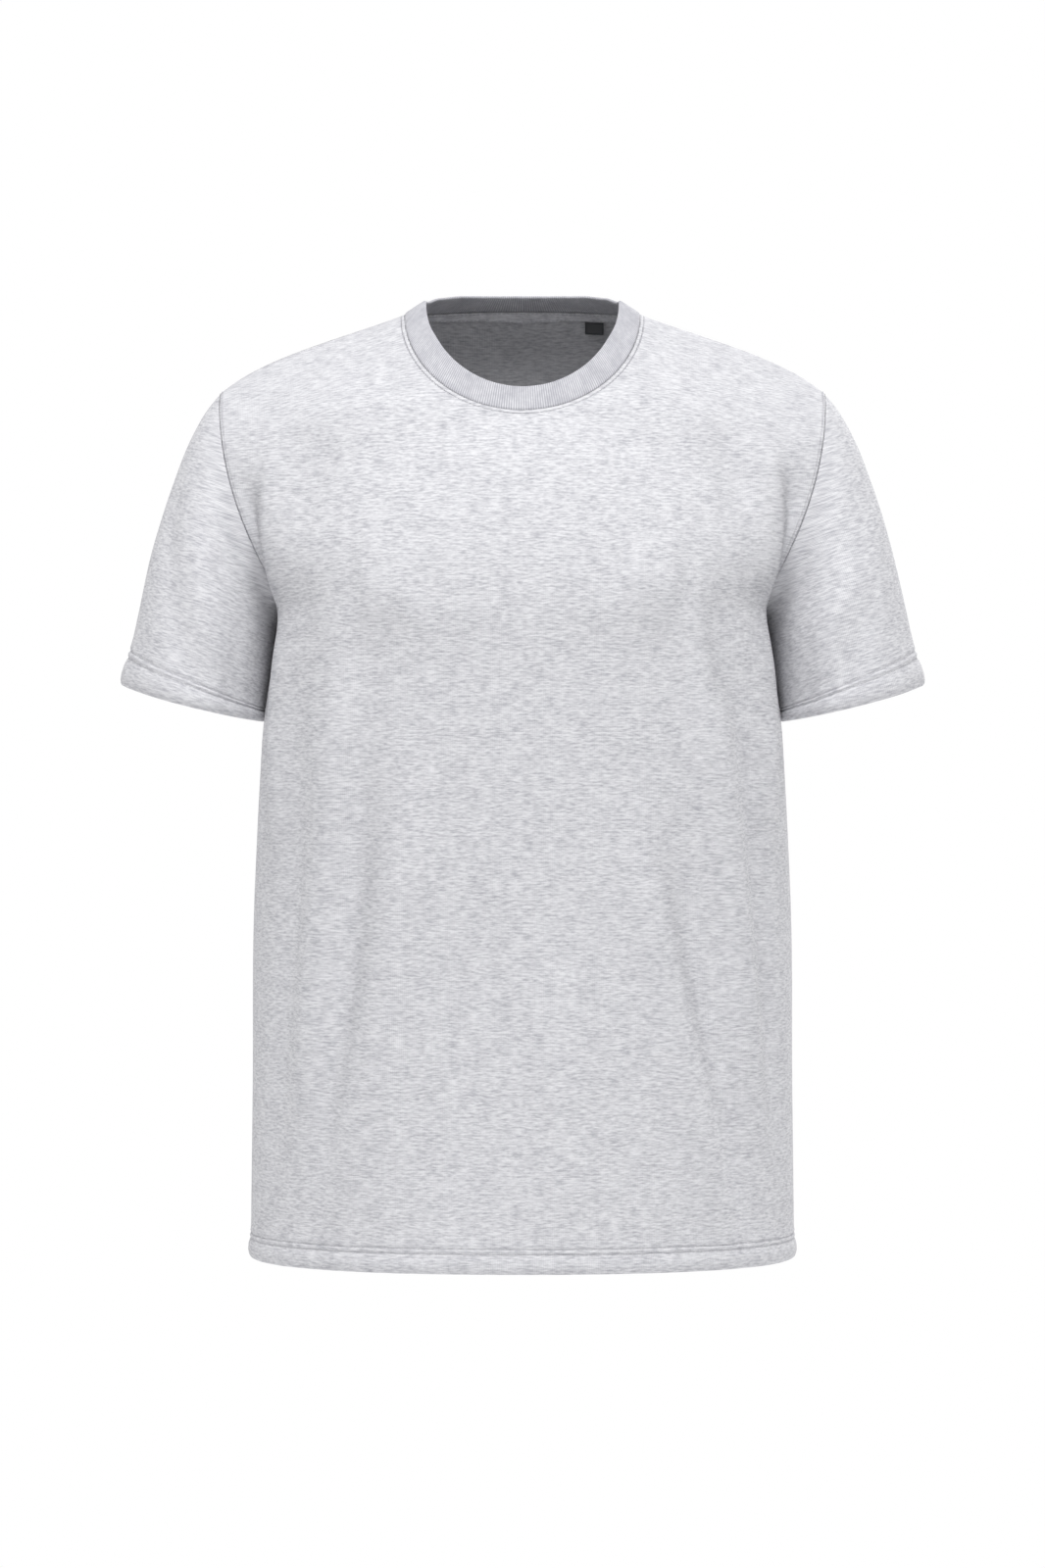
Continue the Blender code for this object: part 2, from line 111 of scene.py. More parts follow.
# Rings round the arm, from the armhole to the cuff. top and under are (x, z), front and back the reach
# from middle, and bow how far the front and back stand out along the sleeve.
ARM_RINGS = (
    dict(top=(0.2320, -0.064), under=(0.1760, -0.2320), middle=0.0000, front=0.058, back=0.062, bow=0.0135),
    dict(top=(0.2430, -0.078), under=(0.1850, -0.2360), middle=0.0010, front=0.061, back=0.064, bow=0.0110),
    dict(top=(0.2540, -0.098), under=(0.1890, -0.2450), middle=0.0000, front=0.064, back=0.066, bow=0.0080),
    dict(top=(0.2680, -0.134), under=(0.1914, -0.2600), middle=-0.0025, front=0.066, back=0.068, bow=0.0050),
    dict(top=(0.2830, -0.182), under=(0.1946, -0.2800), middle=-0.0050, front=0.069, back=0.070, bow=0.0025),
    dict(top=(0.3030, -0.266), under=(0.1988, -0.3080), middle=-0.0080, front=0.070, back=0.070, bow=0.0025),
    dict(top=(0.3085, -0.288), under=(0.1997, -0.3160), middle=-0.0080, front=0.070, back=0.070, bow=0.0030),
)

# A hem in section: how far each row is above the edge, and how far its two faces are from the cloth's
# middle. Two rows of stitches pull it in, and it puffs out below them.
HEM = (
    dict(up=0.0000, outward=-0.0006, inward=0.0012),
    dict(up=0.0004, outward=0.0004, inward=0.0020),
    dict(up=0.0012, outward=0.0013, inward=0.0023),
    dict(up=0.0028, outward=0.0021, inward=0.0024),
    dict(up=0.0060, outward=0.0027, inward=0.0024),
    dict(up=0.0105, outward=0.0024, inward=0.0023),
    dict(up=0.0135, outward=0.0014, inward=0.0021),
    dict(up=0.0148, outward=0.0003, inward=0.0016),
    dict(up=0.0158, outward=0.0012, inward=0.0020),
    dict(up=0.0168, outward=0.0015, inward=0.0021),
    dict(up=0.0177, outward=0.0011, inward=0.0020),
    dict(up=0.0185, outward=0.0001, inward=0.0016),
    dict(up=0.0194, outward=0.0008, inward=0.0020),
    dict(up=0.0204, outward=0.0011, inward=0.0018),
    dict(up=0.0220, outward=0.0009, inward=0.0008),
    dict(up=0.0250, outward=0.0007, inward=0.0007),
)
NEEDLE_ROWS = (7, 11)

COLUMNS = 72  # the grid's columns on half a panel, and its rows on each part of it
BODY_ROWS = 84
CENTRE_ROWS = 40
NECK_ROWS = 56
YOKE_ROWS = CENTRE_ROWS + NECK_ROWS
UNDERARM = len(HEM) + BODY_ROWS
NECK = UNDERARM + CENTRE_ROWS
LAST = UNDERARM + YOKE_ROWS
SAMPLES = 600


def column(table, name):
    return [row[name] for row in table]


def through(knots, values, at):
    """A smooth curve through values at knots, read at the places in at."""
    knots, values, at = (np.asarray(a, float) for a in (knots, values, at))
    slopes = np.gradient(values, knots, axis=0)
    i = np.clip(np.searchsorted(knots, at) - 1, 0, len(knots) - 2)
    step = knots[i + 1] - knots[i]
    t = (at - knots[i]) / step
    t, step = (a.reshape(a.shape + (1,) * (values.ndim - 1)) for a in (t, step))
    return (
        (1 + 2 * t) * (1 - t) ** 2 * values[i]
        + t * (1 - t) ** 2 * step * slopes[i]
        + t**2 * (3 - 2 * t) * values[i + 1]
        + t**2 * (t - 1) * step * slopes[i + 1]
    )


def evenly(points, count):
    """count + 1 points, evenly spaced along the line through points."""
    lengths = np.linalg.norm(np.diff(points, axis=0), axis=1)
    along = np.concatenate([[0], np.cumsum(lengths)])
    at = np.linspace(0, along[-1], count + 1)
    return np.stack([np.interp(at, along, points[:, k]) for k in range(3)], axis=1)


def bezier(start, inner, outer, end, count):
    t = np.linspace(0, 1, count + 1)[:, None]
    start, inner, outer, end = (np.asarray(p, float) for p in (start, inner, outer, end))
    return (1 - t) ** 3 * start + 3 * t * (1 - t) ** 2 * inner + 3 * t**2 * (1 - t) * outer + t**3 * end


def unit(vectors):
    return vectors / np.linalg.norm(vectors, axis=-1, keepdims=True)


def smooth(low, high, value):
    t = np.clip((value - low) / (high - low), 0, 1)
    return t * t * (3 - 2 * t)


def neck_curve(name, front):
    """Half the neck seam or the neckband's top edge, from the centre line to the shoulder seam."""
    curve = NECK_CURVES[name]
    depth, drop = curve["front" if front else "back"]
    angle = np.linspace(np.pi / 2, 0, SAMPLES)
    along = np.sin(angle)
    y = (-depth if front else depth) * along ** (0.6 if front else 0.8)
    return np.stack([curve["side_x"] * np.cos(angle), y, curve["side_z"] - drop * along], axis=1)


def arm_ring(top, under, middle, front, back, bow, angle):
    """A ring round the arm. The angle is 0 on top of the arm, 90 degrees in front and 180 under it."""
    centre, half = (np.add(top, under) / 2, np.subtract(top, under) / 2)
    sleeve_way = unit(np.array([half[1], -half[0]]))
    level, depth = np.cos(angle), np.sin(angle)
    flat = centre + np.outer(level, half) + np.outer(bow * depth**2, sleeve_way)
    y = middle + UNDERARM_POINT[1] * (1 - level) / 2 - np.where(depth > 0, front, back) * depth
    return np.stack([flat[:, 0], y, flat[:, 1]], axis=1)


def armhole(front):
    angle = np.linspace(np.pi, 0, SAMPLES) * (1 if front else -1)
    return evenly(arm_ring(**ARM_RINGS[0], angle=angle), YOKE_ROWS)


def body_rows(front):
    """Half a panel's rows, from the hem up to the shoulder seam, each from the centre line to the side."""
    centre = CENTRE_FRONT if front else CENTRE_BACK
    heights = column(BODY_RINGS, "z")
    levels = [HEM_Z + row["up"] for row in HEM]
    levels += [*np.linspace(levels[-1] + 0.004, UNDERARM_POINT[2], BODY_ROWS, endpoint=False)]
    rows = []
    for z in levels:
        y = float(through(column(centre, "z"), column(centre, "y"), z))
        flat = float(through(heights, column(BODY_RINGS, "flat"), z))
        turn = through(heights, column(BODY_RINGS, "front_turn" if front else "back_turn"), z)
        side = through(heights, column(BODY_RINGS, "side"), z)
        rows.append(bezier((0, y, z), (flat, y, z), (*turn, z), (*side, z), COLUMNS))
    return np.array(rows + yoke_rows(front))


def yoke_rows(front):
    yoke = FRONT_YOKE if front else BACK_YOKE
    centre = CENTRE_FRONT if front else CENTRE_BACK
    z = np.linspace(UNDERARM_POINT[2], centre[-1]["z"], SAMPLES)
    y = through(column(centre, "z"), column(centre, "y"), z)
    centre_line = evenly(np.stack([0 * z, y, z], axis=1), CENTRE_ROWS)
    neckline = evenly(neck_curve("seam", front), NECK_ROWS)
    centre_line[-1] = neckline[0]
    starts = np.concatenate([centre_line, neckline[1:]])
    at_neck = yoke[2]["at"]
    below_neck = np.linspace(0, at_neck, CENTRE_ROWS + 1)
    beside_neck = np.linspace(at_neck, 1, NECK_ROWS + 1)
    at = np.concatenate([below_neck, beside_neck[1:]])
    inners = through(column(yoke, "at"), column(yoke, "inner"), at)
    outers = through(column(yoke, "at"), column(yoke, "outer"), at)
    return [bezier(*points, COLUMNS) for points in zip(starts, inners, outers, armhole(front))]


OVER_SHOULDER = 0.075  # how far in front and behind the cloth starts to turn over the shoulder
SHOULDER_TURN = (-0.13, -0.06)
SHOULDER_CUT = 0.7
FAR_FROM_SEAMS = 0.1


class Piece:
    """A grid of points in the middle of the cloth, with its normals and its place in the flat cut."""

    def __init__(self, rows, outwards, closed=False):
        self.rows = rows
        self.closed = closed
        self.outwards = outwards
        self.before = None
        self.shift = np.zeros_like(rows)
        self.set_normals()
        self.lay_flat()

    def set_normals(self):
        """Unit normals out of the shirt. before has the points that each row would start from."""
        rows = self.rows
        first = 2 * rows[:, :1] - rows[:, 1:2] if self.before is None else self.before[:, None]
        last = 2 * rows[:, -1:] - rows[:, -2:-1]
        if self.closed:
            first, last = rows[:, -1:], rows[:, :1]
        wide = np.concatenate([first, rows, last], axis=1)
        along = wide[:, 2:] - wide[:, :-2]
        self.normals = unit(np.cross(along, np.gradient(rows, axis=0))) * self.outwards

    def lay_flat(self):
        """Each point's place on the flat cut: how far round the body it is, and how far up the cloth."""
        rows = self.rows
        steps = np.linalg.norm(np.diff(rows[:, :, :2], axis=1), axis=2)
        round_it = np.concatenate([np.zeros((len(rows), 1)), np.cumsum(steps, axis=1)], axis=1)
        side = np.sign(rows[:, :, 0].sum())
        depth, height = np.abs(rows[:, :, 1]), rows[:, :, 2]
        turned = np.maximum(0, OVER_SHOULDER - depth) * smooth(*SHOULDER_TURN, height)
        across = side * (np.abs(rows[:, :1, 0]) + round_it)
        self.flat = np.stack([across, height + SHOULDER_CUT * turned], axis=2)
        self.from_seams = np.full_like(self.flat, FAR_FROM_SEAMS)


def fold_heights(folds, across, height):
    """How far a table of folds lifts the cloth, in metres. Ridges are positive and troughs negative."""
    total = np.zeros_like(across)
    for fold in folds:
        (x0, z0), (x1, z1) = fold["start"], fold["end"]
        run = np.array([x1 - x0, z1 - z0])
        length = np.hypot(*run)
        run = run / length
        along = ((across - x0) * run[0] + (height - z0) * run[1]) / length
        off = (across - x0) * -run[1] + (height - z0) * run[0]
        off = off - fold.get("bow", 0) * 4 * np.clip(along, 0, 1) * (1 - np.clip(along, 0, 1))
        left, right = fold["width"]
        shape = np.exp(-((off / np.where(off > 0, left, right)) ** 2))
        fade = fold.get("fade", 0.3)
        ends = smooth(-0.12, fade, along) * (1 - smooth(1 - fade, 1.12, along))
        total += fold["lift"] * shape * ends
    return total


# Folds of the front and the back, from start to end as (across, height) in metres. Across is measured
# round the body from the centre line, towards the wearer's left. A fold is as wide as the first number
# on its left, going from start to end, and as the second on its right.
FRONT_FOLDS = (
    dict(start=(-0.190, -0.118), end=(-0.220, -0.236), width=(0.022, 0.007), lift=0.0058, bow=0.003),
    dict(start=(-0.206, -0.136), end=(-0.229, -0.224), width=(0.006, 0.009), lift=-0.0068, bow=0.003),
    dict(start=(-0.204, -0.228), end=(-0.206, -0.420), width=(0.022, 0.011), lift=0.0052, bow=-0.003),
    dict(start=(-0.229, -0.236), end=(-0.227, -0.400), width=(0.011, 0.012), lift=-0.0056),
    dict(start=(0.186, -0.106), end=(0.217, -0.228), width=(0.007, 0.020), lift=0.0054, bow=-0.003),
    dict(start=(0.202, -0.124), end=(0.227, -0.218), width=(0.009, 0.006), lift=-0.0064, bow=-0.003),
    dict(start=(0.207, -0.232), end=(0.210, -0.405), width=(0.011, 0.021), lift=0.0050, bow=0.003),
    dict(start=(0.229, -0.240), end=(0.230, -0.390), width=(0.012, 0.011), lift=-0.0052),
    dict(start=(-0.138, -0.245), end=(-0.180, -0.650), width=(0.017, 0.024), lift=0.0100, bow=0.003),
    dict(start=(-0.172, -0.320), end=(-0.205, -0.660), width=(0.018, 0.016), lift=-0.0066, bow=0.004),
    dict(start=(-0.088, -0.345), end=(-0.146, -0.700), width=(0.020, 0.022), lift=0.0092, bow=0.014),
    dict(start=(-0.120, -0.330), end=(-0.166, -0.712), width=(0.014, 0.016), lift=-0.0050, bow=0.010),
    dict(start=(0.128, -0.245), end=(0.192, -0.640), width=(0.022, 0.015), lift=0.0112, bow=0.005),
    dict(start=(0.160, -0.262), end=(0.212, -0.640), width=(0.014, 0.016), lift=-0.0090, bow=0.005),
    dict(start=(0.080, -0.385), end=(0.158, -0.706), width=(0.020, 0.016), lift=0.0096, bow=-0.004),
    dict(start=(0.110, -0.400), end=(0.176, -0.708), width=(0.013, 0.014), lift=-0.0066, bow=-0.003),
    dict(start=(0.146, -0.216), end=(0.148, -0.320), width=(0.013, 0.012), lift=-0.0030, bow=0.002),
    dict(start=(-0.030, -0.440), end=(-0.056, -0.718), width=(0.028, 0.030), lift=-0.0050, bow=0.006),
    dict(start=(0.026, -0.500), end=(0.046, -0.722), width=(0.026, 0.024), lift=0.0036, bow=-0.003),
    dict(start=(-0.160, -0.234), end=(0.000, -0.222), width=(0.046, 0.026), lift=0.0042, bow=-0.004),
    dict(start=(0.000, -0.222), end=(0.155, -0.230), width=(0.046, 0.026), lift=0.0042, bow=-0.003),
    dict(start=(-0.124, -0.222), end=(-0.076, -0.218), width=(0.034, 0.022), lift=0.0050),
    dict(start=(0.074, -0.214), end=(0.118, -0.218), width=(0.034, 0.022), lift=0.0048),
    dict(start=(-0.146, -0.090), end=(-0.180, -0.170), width=(0.016, 0.018), lift=-0.0024, bow=0.003),
    dict(start=(0.146, -0.085), end=(0.176, -0.160), width=(0.018, 0.013), lift=-0.0032, bow=-0.003),
    dict(start=(-0.130, -0.050), end=(-0.172, -0.098), width=(0.018, 0.018), lift=0.0022),
)
BACK_FOLDS = (
    dict(start=(-0.206, -0.360), end=(-0.205, -0.160), width=(0.015, 0.010), lift=0.0067, bow=0.003),
    dict(start=(0.204, -0.350), end=(0.206, -0.165), width=(0.010, 0.016), lift=0.0072, bow=-0.004),
    dict(start=(-0.226, -0.372), end=(-0.220, -0.225), width=(0.010, 0.010), lift=-0.0070),
    dict(start=(0.226, -0.366), end=(0.220, -0.225), width=(0.010, 0.010), lift=-0.0074),
    dict(start=(-0.106, -0.180), end=(-0.150, -0.520), width=(0.024, 0.032), lift=0.0054, bow=0.008),
    dict(start=(-0.140, -0.250), end=(-0.180, -0.560), width=(0.016, 0.020), lift=-0.0038, bow=0.005),
    dict(start=(0.100, -0.190), end=(0.158, -0.560), width=(0.030, 0.022), lift=0.0051, bow=-0.007),
    dict(start=(0.136, -0.280), end=(0.184, -0.600), width=(0.018, 0.015), lift=-0.0035, bow=-0.005),
    dict(start=(-0.040, -0.300), end=(-0.070, -0.690), width=(0.026, 0.030), lift=0.0042, bow=0.006),
    dict(start=(-0.012, -0.360), end=(-0.030, -0.700), width=(0.020, 0.022), lift=-0.0035, bow=0.003),
    dict(start=(0.050, -0.330), end=(0.066, -0.715), width=(0.028, 0.024), lift=0.0042, bow=-0.005),
    dict(start=(0.118, -0.520), end=(0.140, -0.720), width=(0.018, 0.022), lift=-0.0026),
    dict(start=(-0.110, -0.560), end=(-0.128, -0.722), width=(0.020, 0.018), lift=-0.0026),
    dict(start=(-0.070, -0.020), end=(-0.150, -0.120), width=(0.022, 0.022), lift=0.0029, bow=0.004),
    dict(start=(0.074, -0.024), end=(0.150, -0.128), width=(0.020, 0.024), lift=0.0026, bow=-0.004),
)


def from_line(points, line):
    """How far each of a grid of points is from a line through other points."""
    starts, runs = line[:-1], np.diff(line, axis=0)
    nearest = np.full(points.shape[:2], 1.0)
    for start, run in zip(starts, runs):
        along = np.clip(((points - start) @ run) / (run @ run), 0, 1)
        nearest = np.minimum(nearest, np.linalg.norm(points - start - along[:, :, None] * run, axis=2))
    return nearest


SIDE_FADE = (0, 0.010)
NECK_FADE = (0.004, 0.024)
SHOULDER_FADE = (0, 0.020)


def seam_fade(piece):
    """0 at a panel's seams and 1 further in, so that folds die out where pieces are sewn."""
    rows = piece.rows
    from_side = np.cumsum(np.linalg.norm(np.diff(rows[:, ::-1], axis=1), axis=2), axis=1)[:, ::-1]
    from_side = np.concatenate([from_side, np.zeros((len(rows), 1))], axis=1)
    from_top = np.linalg.norm(rows - rows[LAST], axis=2)
    from_neck, from_armhole = piece.from_seams[:, :, 0], piece.from_seams[:, :, 1]
    near = np.minimum(from_side, from_armhole)
    return smooth(*SIDE_FADE, near) * smooth(*NECK_FADE, from_neck) * smooth(*SHOULDER_FADE, from_top)


def half_panel(front, side, folds):
    """One half of a panel, with its folds. side is 1 on the wearer's left and -1 on the right."""
    rows = body_rows(front) * (side, 1, 1)
    piece = Piece(rows, side if front else -side)
    piece.normals[:NECK, 0, 0] = 0
    piece.normals = unit(piece.normals)
    piece.from_seams = np.stack(
        [from_line(rows, rows[NECK:, 0]), from_line(rows, rows[UNDERARM:, -1])], axis=2
    )
    across, height = piece.flat[:, :, 0], rows[:, :, 2]
    lift = fold_heights(folds, across, height) * seam_fade(piece)
    piece.rows = rows + lift[:, :, None] * piece.normals
    return piece


def share(right, left, at):
    """Gives two mirrored halves the same points and normals at the places where they meet."""
    points = (right.rows[at] + right.shift[at] + left.rows[at] + left.shift[at]) / 2 * (0, 1, 1)
    normals = unit(right.normals[at] + left.normals[at])
    for half in (right, left):
        half.rows[at], half.normals[at], half.shift[at] = points, normals, 0


def join_halves(right, left):
    """Makes two mirrored halves smooth where they meet on the centre line."""
    for one, other in ((right, left), (left, right)):
        one.before = 2 * one.rows[:, 0] - one.rows[:, 1]
        one.before[:NECK] = other.rows[:NECK, 1]
    for one in (right, left):
        one.set_normals()
        one.normals[NECK, 0] = unit(one.normals[NECK, 0] * (0, 1, 1))
    share(right, left, (slice(0, NECK + 1), 0))


def seam(first, first_at, second, second_at):
    """Sews two pieces. The points at first_at and second_at are the same, in the same order."""
    points = first.rows[first_at]
    tangent = unit(np.gradient(points, axis=0))
    tangent[np.abs(points[:, 0]) < WELD] = (1, 0, 0)
    shared = first.normals[first_at] + second.normals[second_at]
    shared = unit(shared - tangent * (shared * tangent).sum(axis=1, keepdims=True))
    first.normals[first_at] = second.normals[second_at] = shared
    across = np.cross(tangent, shared) * TOUCH
    across *= np.sign((across * (first.rows.mean(axis=(0, 1)) - points)).sum())
    first.shift[first_at] += across
    second.shift[second_at] -= across
    return points, shared, unit(across)


def corner(*spots):
    """Gives the pieces that meet at a corner the same normal there."""
    shared = unit(sum(piece.normals[at] for piece, at in spots))
    for piece, at in spots:
        piece.normals[at] = shared


def add_face(built, layers, piece, corners, spots):
    """Adds a face to a solid, with its place on the cut. spots are its corners on the piece's grid."""
    face = built.faces.new(corners)
    for loop, at in zip(face.loops, spots):
        for layer, values in zip(layers, (piece.flat, piece.from_seams)):
            loop[layer].uv = values[at]


def cloth(name, pieces, profiles, rims, material):
    """Makes pieces of cloth into one solid. profiles are how far its two faces are from its middle."""
    built = bmesh.new()
    layers = [built.loops.layers.uv.new(layer) for layer in ("Cut", "Seams")]
    for piece, (outward, inward), piece_rims in zip(pieces, profiles, rims):
        points = piece.rows + piece.shift
        outer = points + np.reshape(outward, (-1, 1, 1)) * piece.normals
        inner = points - np.reshape(inward, (-1, 1, 1)) * piece.normals
        both = np.concatenate([outer, inner]).reshape(-1, 3).tolist()
        corners = [built.verts.new(point) for point in both]
        behind = len(corners) // 2
        place = np.arange(behind).reshape(points.shape[:2])
        if piece.closed:
            place = np.concatenate([place, place[:, :1]], axis=1)
        for depth in (0, behind):
            for r in range(place.shape[0] - 1):
                for c in range(place.shape[1] - 1):
                    ring = ((r, c), (r, c + 1), (r + 1, c + 1), (r + 1, c))
                    add_face(built, layers, piece, [corners[place[at] + depth] for at in ring], ring)
        for rim in piece_rims:
            for a, b in zip(rim, rim[1:]):
                edge = (place[a], place[b], place[b] + behind, place[a] + behind)
                add_face(built, layers, piece, [corners[at] for at in edge], (a, b, b, a))
    bmesh.ops.remove_doubles(built, verts=built.verts, dist=WELD)
    bmesh.ops.recalc_face_normals(built, faces=built.faces)
    mesh = bpy.data.meshes.new(name)
    built.to_mesh(mesh)
    built.free()
    mesh.shade_smooth()
    mesh.materials.append(material)
    made = bpy.data.objects.new(name, mesh)
    bpy.context.scene.collection.objects.link(made)
    return made


def linear(colour):
    """An sRGB hex colour as a linear colour with alpha."""
    values = [int(colour[i : i + 2], 16) / 255 for i in (1, 3, 5)]
    return (*[v / 12.92 if v <= 0.04045 else ((v + 0.055) / 1.055) ** 2.4 for v in values], 1)


def connect(tree, made, **inputs):
    """Sets a node's inputs, and links the inputs that are outputs of other nodes."""
    for key, value in inputs.items():
        socket = made.inputs[int(key[1:]) if key[0] == "_" else key.replace("_", " ")]
        if isinstance(value, bpy.types.NodeSocket):
            tree.links.new(value, socket)
        else:
            socket.default_value = value


def node(tree, kind, settings=None, **inputs):
    """Adds a node, and sets its properties and its inputs."""
    made = tree.nodes.new(kind)
    for key, value in (settings or {}).items():
        setattr(made, key, value)
    connect(tree, made, **inputs)
    return made


def maths(tree, operation, *values):
    made = node(tree, "ShaderNodeMath", dict(operation=operation))
    connect(tree, made, **{f"_{place}": value for place, value in enumerate(values)})
    return made.outputs[0]


def mixed(tree, kind, part, first, second):
    """A mix of two values, or of two colours, with this part of the second."""
    a, b, out = dict(FLOAT=(2, 3, 0), RGBA=(6, 7, 2))[kind]
    inputs = {"_0": part, f"_{a}": first, f"_{b}": second}
    return node(tree, "ShaderNodeMix", dict(data_type=kind), **inputs).outputs[out]


def noise(tree, place, per_metre, detail, roughness=0.5):
    """Noise that comes and goes this often in a metre, each way."""
    spread = node(tree, "ShaderNodeVectorMath", dict(operation="MULTIPLY"), _0=place, _1=per_metre)
    made = node(tree, "ShaderNodeTexNoise", Vector=spread.outputs[0], Scale=1.0)
    connect(tree, made, Detail=detail, Roughness=roughness)
    return made.outputs[0]


def ramp(tree, value, stops):
    """A colour ramp through stops, each a place from 0 to 1 and a linear colour."""
    made = node(tree, "ShaderNodeValToRGB", Fac=value)
    elements = made.color_ramp.elements
    elements[0].position, elements[1].position = stops[0][0], stops[-1][0]
    for place, _ in stops[1:-1]:
        elements.new(place)
    for element, (_, colour) in zip(elements, stops):
        element.color = colour
    return made.outputs["Color"]


def new_material(name):
    """A new material, with its node tree and its principled shader."""
    material = bpy.data.materials.new(name)
    material.use_nodes = True
    return material, material.node_tree, material.node_tree.nodes["Principled BSDF"]


COTTON = dict(Roughness=0.88, IOR=1.45, Specular_IOR_Level=0.25, Sheen_Roughness=0.55)
KNIT_PITCH = 0.0013
# The grey and white fibres: short runs along the courses, finer fibres, and broad patches. Each is
# noise that comes this often in a metre round and up the cloth, and covers part of what is below it.
HEATHER_LAYERS = (
    dict(part=1.00, per_metre=(125, 666.6667), detail=2.0, rough=0.55, span=(0.26, 0.76), ease="SMOOTHSTEP"),
    dict(part=0.32, per_metre=(260, 900), detail=1.5, rough=0.60, span=(0.30, 0.72), ease="SMOOTHSTEP"),
    dict(part=0.20, per_metre=(50, 90), detail=2.0, rough=0.55, span=(0.30, 0.70), ease="LINEAR"),
)
# How the cloth stands beside a seam on the body: 0.5 is level. at is metres from the seam.
WELT_REACH = 0.010
NECK_WELT = (
    dict(at=0.0000, height=0.10),
    dict(at=0.0006, height=0.55),
    dict(at=0.0018, height=0.80),
    dict(at=0.0029, height=0.72),
    dict(at=0.0034, height=0.15),
    dict(at=0.0038, height=0.15),
    dict(at=0.0045, height=0.52),
    dict(at=0.0100, height=0.50),
)
ARMHOLE_WELT = (
    dict(at=0.0000, height=0.20),
    dict(at=0.0005, height=0.55),
    dict(at=0.0012, height=0.68),
    dict(at=0.0018, height=0.62),
    dict(at=0.0021, height=0.25),
    dict(at=0.0025, height=0.25),
    dict(at=0.0031, height=0.51),
    dict(at=0.0100, height=0.50),
)
WELTS = (NECK_WELT, ARMHOLE_WELT)


# Heather jersey: ash-grey cotton, blended from white and grey fibres before it is spun. The fibres lie
# together in short runs along the courses, so the cloth is matt and flecked across.
def heather(name, pale, grey, dark):
    material, tree, shader = new_material(name)
    cut = node(tree, "ShaderNodeUVMap", dict(uv_map="Cut")).outputs["UV"]
    blend, layers = 0.0, []
    for layer in HEATHER_LAYERS:
        made = noise(tree, cut, (*layer["per_metre"], 1), layer["detail"], layer["rough"])
        ease = dict(interpolation_type=layer["ease"])
        low, high = layer["span"]
        amount = node(tree, "ShaderNodeMapRange", ease, Value=made, From_Min=low, From_Max=high)
        blend = mixed(tree, "FLOAT", layer["part"], blend, amount.outputs[0])
        layers.append(made)
    colour = ramp(tree, blend, [(0.12, linear(dark)), (0.45, linear(grey)), (0.78, linear(pale))])
    # Wales and courses of a real single jersey are 0.7 mm apart. They are drawn 1.3 mm apart, so that
    # they show as a grain.
    pitch = (2 * math.pi / KNIT_PITCH, 2 * math.pi / KNIT_PITCH, 1)
    grain = node(tree, "ShaderNodeVectorMath", dict(operation="MULTIPLY"), _0=cut, _1=pitch)
    turns = node(tree, "ShaderNodeSeparateXYZ", Vector=grain.outputs[0]).outputs
    wale, course = (maths(tree, "SINE", turns[k]) for k in (0, 1))
    knit = maths(tree, "MULTIPLY_ADD", course, 0.5, wale)
    relief = maths(tree, "MULTIPLY_ADD", layers[1], 2.2, knit)
    # The seam allowance makes a low welt beside the seam, and the stitches sink a furrow beyond it. The
    # colour is darkened on the seam and in the furrow, as painted shade.
    from_seams = node(tree, "ShaderNodeUVMap", dict(uv_map="Seams")).outputs["UV"]
    distances = node(tree, "ShaderNodeSeparateXYZ", Vector=from_seams).outputs
    welts = []
    for distance, profile in zip(distances, WELTS):
        part = maths(tree, "MULTIPLY", distance, 1 / WELT_REACH)
        stops = [(spot["at"] / WELT_REACH, (*[spot["height"]] * 3, 1)) for spot in profile]
        welts.append(ramp(tree, part, stops))
    welt = maths(tree, "ADD", *welts)
    # Painted shade: the colour is darkened where the welt lies low, on the seam and in the stitch furrow.
    painted_furrow_shade = node(tree, "ShaderNodeMapRange", Value=welt, From_Min=0.5, From_Max=0.9, To_Min=0.89)
    colour_with_painted_shade = node(tree, "ShaderNodeVectorMath", dict(operation="SCALE"), _0=colour, Scale=painted_furrow_shade.outputs[0])
    seamed = node(tree, "ShaderNodeBump", Strength=1.0, Distance=0.0010, Height=welt).outputs["Normal"]
    bump = node(tree, "ShaderNodeBump", Strength=0.35, Distance=0.00012, Height=relief, Normal=seamed)
    connect(tree, shader, Base_Color=colour_with_painted_shade.outputs[0], Normal=bump.outputs["Normal"])
    connect(tree, shader, Sheen_Weight=0.12, **COTTON)
    return material


jersey = heather("Heather grey jersey", "#CECED1", "#BCBCC0", "#A1A1A7")

front_right, front_left = (half_panel(True, side, FRONT_FOLDS) for side in (-1, 1))
back_right, back_left = (half_panel(False, side, BACK_FOLDS) for side in (-1, 1))
join_halves(front_right, front_left)
join_halves(back_right, back_left)


# ---- Sleeves -----------------------------------------------------------------------------------------
# Each sleeve is one piece of the same jersey, folded round the arm and sewn under it, then set into
# the armhole and topstitched on the body's side. Its hem is like the body's.

SLEEVE_ROWS = 74
SLEEVE_CUT_AT = 0.3  # where on the cloth a sleeve is cut, so that its flecks aren't the body's
SLEEVE_FADE = (0, 0.025)
